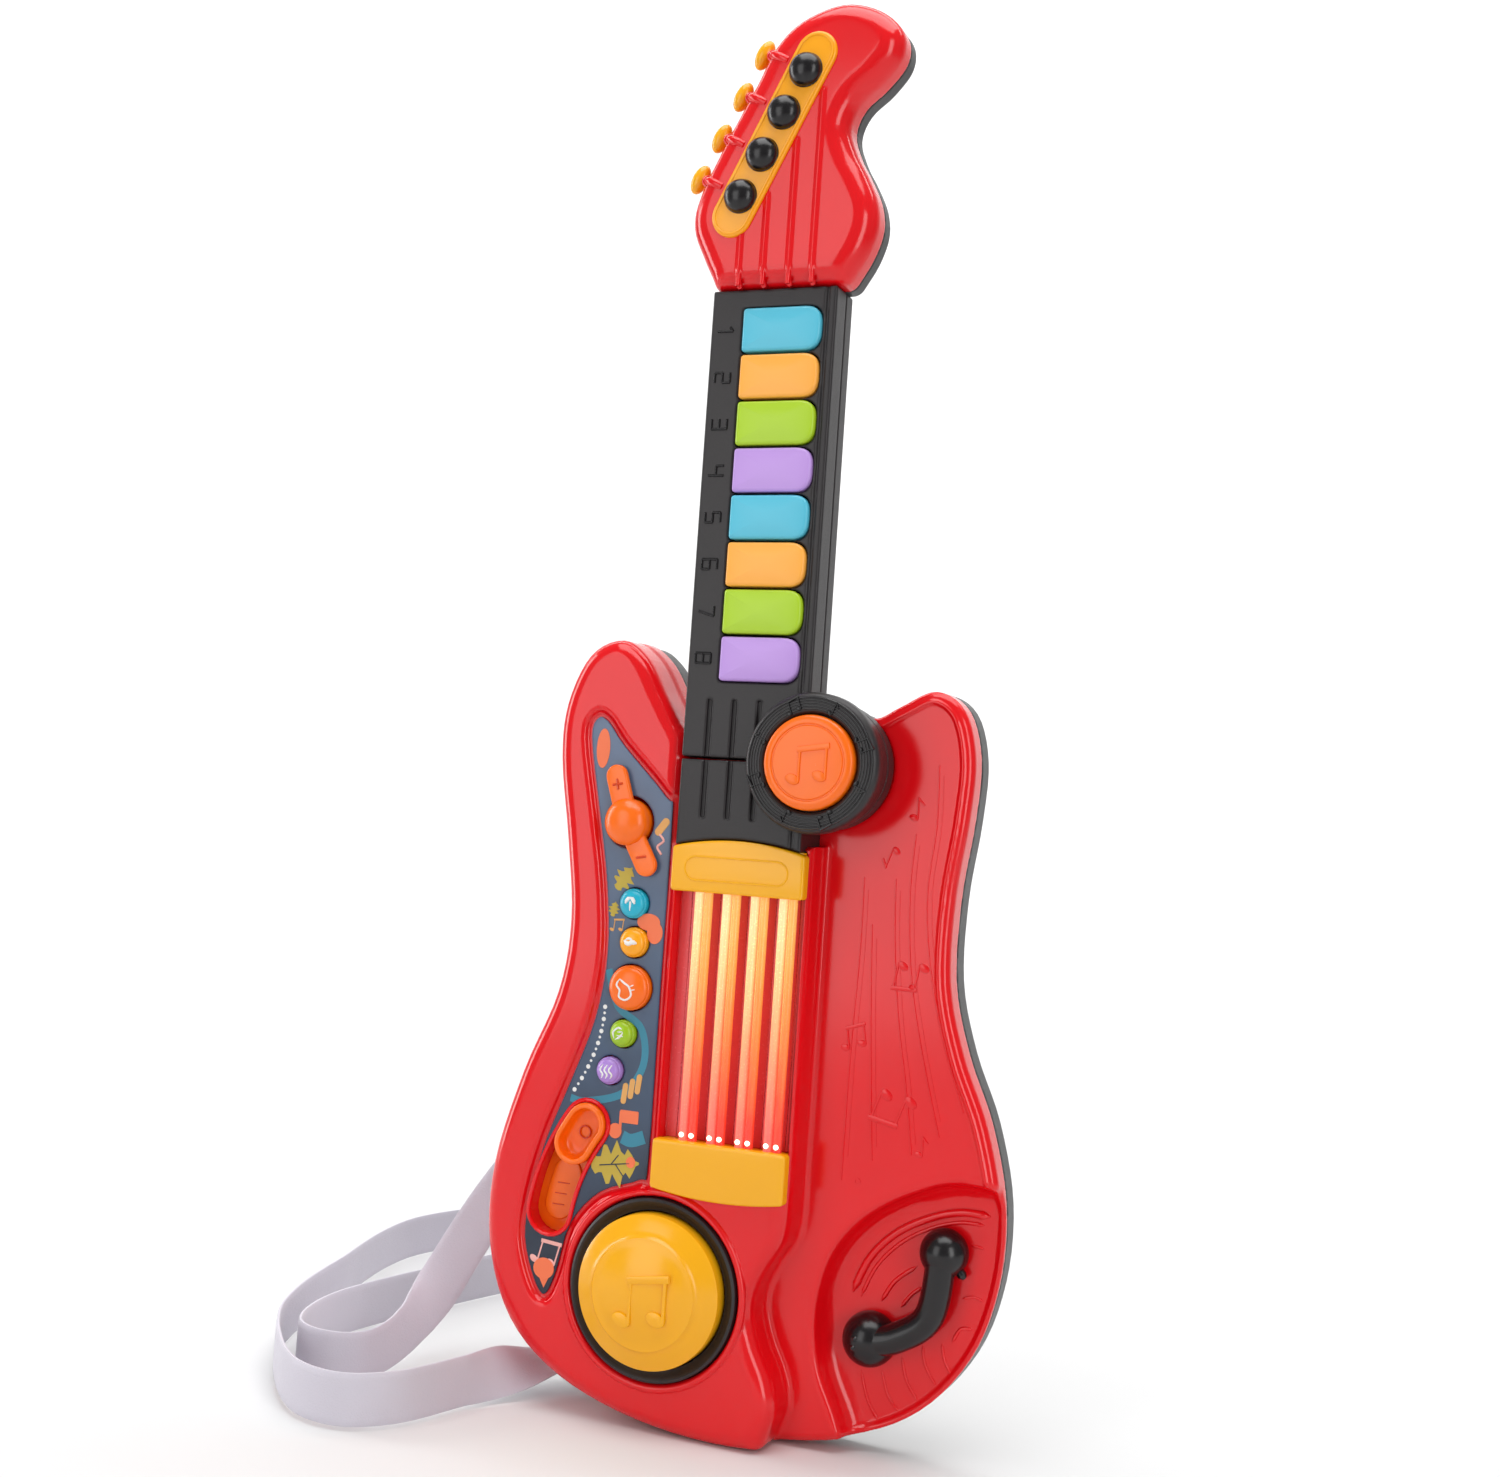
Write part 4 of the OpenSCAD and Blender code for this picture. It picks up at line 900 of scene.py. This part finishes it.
def bed_relief():
    """The raised staff lines and notes on the right side, and the ridges in the dish below them."""
    relief, t = Lofts(), BED_T + 0.02
    for points in ([(14.6, -42), (14.8, -70), (13.6, -110), (13.2, -159)],
                   [(19, -60), (20.5, -90), (22.6, -120), (25, -150)],
                   [(27.5, -42), (28.6, -66), (32, -95), (37, -122), (40.6, -146)],
                   [(34.5, -24), (33.5, -48), (36, -78), (42, -106), (51, -138)],
                   [(42, 3), (42.5, -20), (40.5, -46), (43, -72), (50, -100), (60, -128)]):
        line = curve(points, 8)
        relief.tube(level(line, t), 0.3, 6)
        relief.tube(level(line[2:-2] + (1.9, 0), t - 0.08), 0.22, 6)
    for centre, size, turn, pair in (((35, -14), 9, 0, False), ((24, -34), 9, 160, False),
                                     ((36.5, -79), 11, 170, True), ((13.8, -104), 9, 10, True),
                                     ((33, -130), 13, 160, True), ((45, -142), 8, 0, False)):
        relief.note(centre, size, t, 0.35, turn, pair)
    relief.turned((36.8, -82.6), [(1.1, t - 0.5), (1.1, t + 0.5), (0.7, t + 0.9), (0.1, t + 1)], 20)
    relief.turned((19.8, -158.6), [(1.3, t - 0.5), (1.3, t + 0.2), (0.8, t + 0.2), (0.8, t - 0.1),
                                   (0.1, t - 0.1)], 20)
    relief.piece("bed_relief", RED, "body")
    ridges = Lofts()
    for r, points in (
            (1.6, [(17.3, -203), (23.4, -189), (33.6, -178), (47, -170.4), (58.8, -166.8), (70, -166.8)]),
            (0.8, [(20.6, -204.5), (26.4, -191.6), (36, -181.2), (48, -174), (59, -170.6), (68, -170.4)]),
            (0.9, [(29, -205), (34, -196.5), (42.5, -189.5)]),
            (0.8, [(37, -206), (41, -200.5), (45, -197.2)]),
            (0.6, [(63, -178.5), (68.5, -179.2)]), (0.6, [(61, -199), (65, -197.8), (69, -198.6)]),
            (0.7, [(58, -216), (61, -210.5), (65.5, -209.8)]),
            (0.6, [(54, -217), (55.5, -223), (58.5, -228)]),
            (0.6, [(46.5, -218.5), (48, -226), (53, -233.5)]),
            (0.6, [(38.5, -224), (41, -233), (46, -240)]),
            (0.6, [(31, -231), (34, -240), (39, -245.5)]), (0.6, [(22.5, -232), (26, -243), (31, -250.5)])):
        line = curve(points, 10)
        ridges.tube(level(line, DISH_T + (0.2 if r > 1 else 0)), r * taper(line, 0.25), 10)
    ridges.piece("dish_ridges", RED, "body")


def leaf(prints, centre, size, turn, rise):
    """A generic leaf of four lobes, as a thin printed shape."""
    s = np.linspace(0, 1, 15)
    w = 0.32 * np.sin(math.pi * np.minimum(1, s * 0.92 + 0.06)) * (1 + 0.45 * np.sin(8 * math.pi * s))
    half = np.stack([s - 0.5, w], -1)
    prints.printed(size * spun([*half, *half[::-1] * (1, -1)], turn) + centre, rise)


def panel_print():
    b = Block((-118, -222, 39.5), (-58, 20, 43), STEP * 0.75)
    sheet = meet(b.outline(PANEL) + 0.3, np.abs(b.t - PANEL_T + 0.5) - 0.5)
    sheet = meet(sheet, -panel_holes(b, 10.6, 0.5))
    b.piece("label_film", sheet, LABEL, "body", "panel_label")
    leaves, veins = Lofts(), Lofts()
    leaf(leaves, (-80, -49.5), 11, 55, 0.12)
    leaf(leaves, (-83.6, -62), 6, 80, 0.16)
    leaf(leaves, (-75.3, -162), 21, 8, 0.12)
    for x, y, dx, dy in ((-82, -163.2, 13, 2.2), (-77, -162.3, 3, 4), (-75, -162.2, 3.5, -4)):
        veins.tube(level([(x, y), (x + dx, y + dy)], PANEL_T + 0.1), 0.25, 6)
    veins.piece("print_veins", INK, "body")
    leaves.piece("print_leaves", LEAF, "body")
    warm = Lofts()
    blobs = (((-93.5, 2), 3.0, 8), ((-68, -66), 5.0, 3.4), ((-65, -70), 3.4, 4.4),
             ((-76.2, -149), 2.8, 3.0), ((-68.5, -160.5), 2.0, 2.2), ((-103.5, -207), 4.6, 4.2))
    for k, (centre, rx, ry) in enumerate(blobs):
        warm.printed(circle(rx, 24, ry / rx) + centre, 0.18 + 0.03 * k)
    warm.printed([(-107.5, -207), (-99.4, -207), (-103, -214.6)], 0.14)
    warm.printed(box_outline(-74.8, -149, -73.6, -141, 0.3), 0.15)
    warm.printed(box_outline(-74.6, -145.5, -66.5, -140.5, 0.5), 0.16)
    warm.piece("print_blobs", SALMON, "body")
    teal = Lofts()
    for half, points in ((1.5, [(-84, -86), (-79, -100), (-68, -108), (-66, -122), (-74, -134), (-90, -139),
                                (-97, -138.4)]),
                         (2.6, [(-63.5, -150), (-69, -152), (-73, -151)])):
        route = curve(points, 8)
        side = half * spun(unit(np.gradient(route, axis=0)), 90)
        rise = 0.04 + 0.015 * len(teal.faces) / 60
        teal.printed(np.concatenate([route + side, (route - side)[::-1]]), rise, 0.02)
    teal.piece("print_ribbons", TEAL, "body")
    tan = Lofts()
    for k in range(3):
        stripe = capsule((-73.6 + 2.9 * k, -137 + 2.2 * k), (-73 + 2.9 * k, -131 + 2.0 * k), 1.15)
        tan.printed(stripe, 0.2 + 0.02 * k)
    tan.printed(capsule((-66.5, -30), (-63.5, -26), 1.6), 0.13)
    tan.note((-82.2, -68.2), 5, PANEL_T, 0.12, -5)
    tan.piece("print_stripes", TAN, "body")
    pink = Lofts().note((-104, -200.5), 10, PANEL_T, 0.14, -14)
    squiggle = curve([(-66, -31), (-64, -33.5), (-66.6, -36), (-64.6, -39)], 5)
    pink.tube(level(squiggle, PANEL_T), 0.5, 6)
    pink.piece("print_notes", PINK, "body")
    # a dotted staff line where the real label has words
    cream = Lofts()
    for k, s in enumerate(np.linspace(0, 1, 15)):
        r = 0.9 - 0.35 * (k % 2)
        profile = [(r, PANEL_T - 0.3), (r, PANEL_T + 0.12), (0.3, PANEL_T + 0.13)]
        cream.turned((-84.5 - 11 * s * s, -101 - 34 * s), profile, 14)
    cream.piece("print_dots", CREAM, "body")


def plain_nodes():
    """CAD nodes that are shown as they are, with finished materials."""
    finish = {BACK_GREY: "battery_door", CELL: "battery_cells", CONE: "speaker", BLACK: "pivot_post",
              PAD: "key_pads", BOARD: "main_board light_board key_board",
              STEEL: "battery_contacts pivot_washer drum_spring whammy_spring strap_pins hub_spring "
                     "case_screws door_screw neck_screws"}
    for material, names in finish.items():
        for name in names.split():
            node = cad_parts[name]
            if not node.material_slots:
                node.data.materials.append(material)
            for s in node.material_slots:
                s.material = material


# ---- strap
STRAP_W, STRAP_TH = 20.0, 1.5


def strap():
    line = curve(curve(STRAP_PTS, 2), 16)
    run = np.concatenate([[0], np.cumsum(np.linalg.norm(np.diff(line, axis=0), axis=1))])
    total = run[-1]
    s = np.arange(0, total, 0.85)
    p = np.stack([np.interp(s, run, line[:, i]) for i in range(3)], -1)
    d = unit(np.gradient(p, axis=0))
    share = np.interp(s, run, np.linspace(0, 1, len(run)))
    flat = np.clip((0.24 - share) / 0.1, 0, 1)[:, None]
    twist = np.clip((share - 0.87) / 0.05, 0, 1)[:, None]
    behind = np.clip((share - 0.945) / 0.03, 0, 1)[:, None]
    # flat on the back, then on edge along the floor, then level, then flat on the back again
    across, sideways = np.cross([0, 1, 0], d), np.cross([0, 0, 1], d)
    w = (1 - flat) * (1 - twist) * np.array([0, 0, 1.0]) + flat * across
    w += twist * (1 - behind) * sideways + behind * across
    w = unit(w - np.sum(w * d, axis=1)[:, None] * d)
    v = np.cross(d, w)
    section = [(-0.5, -0.25), (-0.47, -0.45), (-0.36, -0.36), (0.36, -0.36), (0.47, -0.45), (0.5, -0.25)]
    section = np.array(section + [(-a, -b) for a, b in section])
    a, b = section[:, :1], section[:, 1:]
    ribbed = np.where(np.abs(a) < 0.4, np.sign(b), 0)
    rings = [p[i] + a * STRAP_W * w[i] + (b * STRAP_TH + (0.3 if i % 2 else 0.1) * ribbed) * v[i]
             for i in range(len(p))]
    loft = Lofts().add(rings, lambda ring: ring / 1000)
    band = loft.piece("strap_webbing", WEBBING, "body", "strap")


# ---- stage
def area_light(name, where, towards, size, power):
    data = bpy.data.lights.new(name, "AREA")
    data.shape = "RECTANGLE"
    data.size, data.size_y = size
    data.energy = power
    z = unit(np.array(where, float) - np.array(towards, float))
    x = unit(np.cross([0, 0, 1.0], z))
    stand(show(name, data), x, np.cross(z, x), z, where)


def studio():
    floor_z = -0.2632  # just under the CAD part's lowest point
    profile = [(-9, 0.0), (1.2, 0.0)]
    profile += [*(polar(1.2, np.linspace(0.05 - math.pi / 2, 0, 24)) + 1.2), (2.4, 3.5)]
    verts = [(x, y, floor_z + z) for y, z in profile for x in (-9, 9)]
    faces = [(2 * i, 2 * i + 1, 2 * i + 3, 2 * i + 2) for i in range(len(profile) - 1)]
    mesh = bpy.data.meshes.new("backdrop")
    mesh.from_pydata(verts, [], faces)
    for f in mesh.polygons:
        f.use_smooth = True
    paper = Finish("backdrop_paper", Roughness=0.9)
    paper.tint(paper.noise(3), (0.72, 0.72, 0.72), 0.01)
    mesh.materials.append(paper.material)
    show("backdrop", mesh)
    world = bpy.data.worlds.new("studio")
    world.use_nodes = True
    put(world.node_tree.nodes["Background"], Color=(1, 1, 1, 1), Strength=0.3)
    bpy.context.scene.world = world
    bpy.context.scene.view_settings.view_transform = "Standard"
    area_light("key", (-0.64, -1.5, 0.2), (0, 0, 0.05), (0.75, 1.4), 6.5)
    area_light("top", (0.1, -0.3, 1.5), (0, 0, 0), (1.6, 1.2), 22)
    area_light("side", (1.5, -1.2, 0.3), (0, 0, 0), (0.6, 1.5), 11)
    area_light("left", (-1.5, -0.2, 0.3), (-0.05, 0, 0), (0.4, 1.2), 8)
    area_light("sweep", (-1.6, 0.9, 1.9), (-1.6, 2.4, 0.5), (6.5, 0.8), 95)


strap()
front_shell()
back_shell()
neck_parts()
neck_stub()
head_parts()
tuners()
keys()
hub()
drum()
strings()
volume()
sound_buttons()
power_switch()
whammy()
bed_relief()
panel_print()
plain_nodes()
studio()
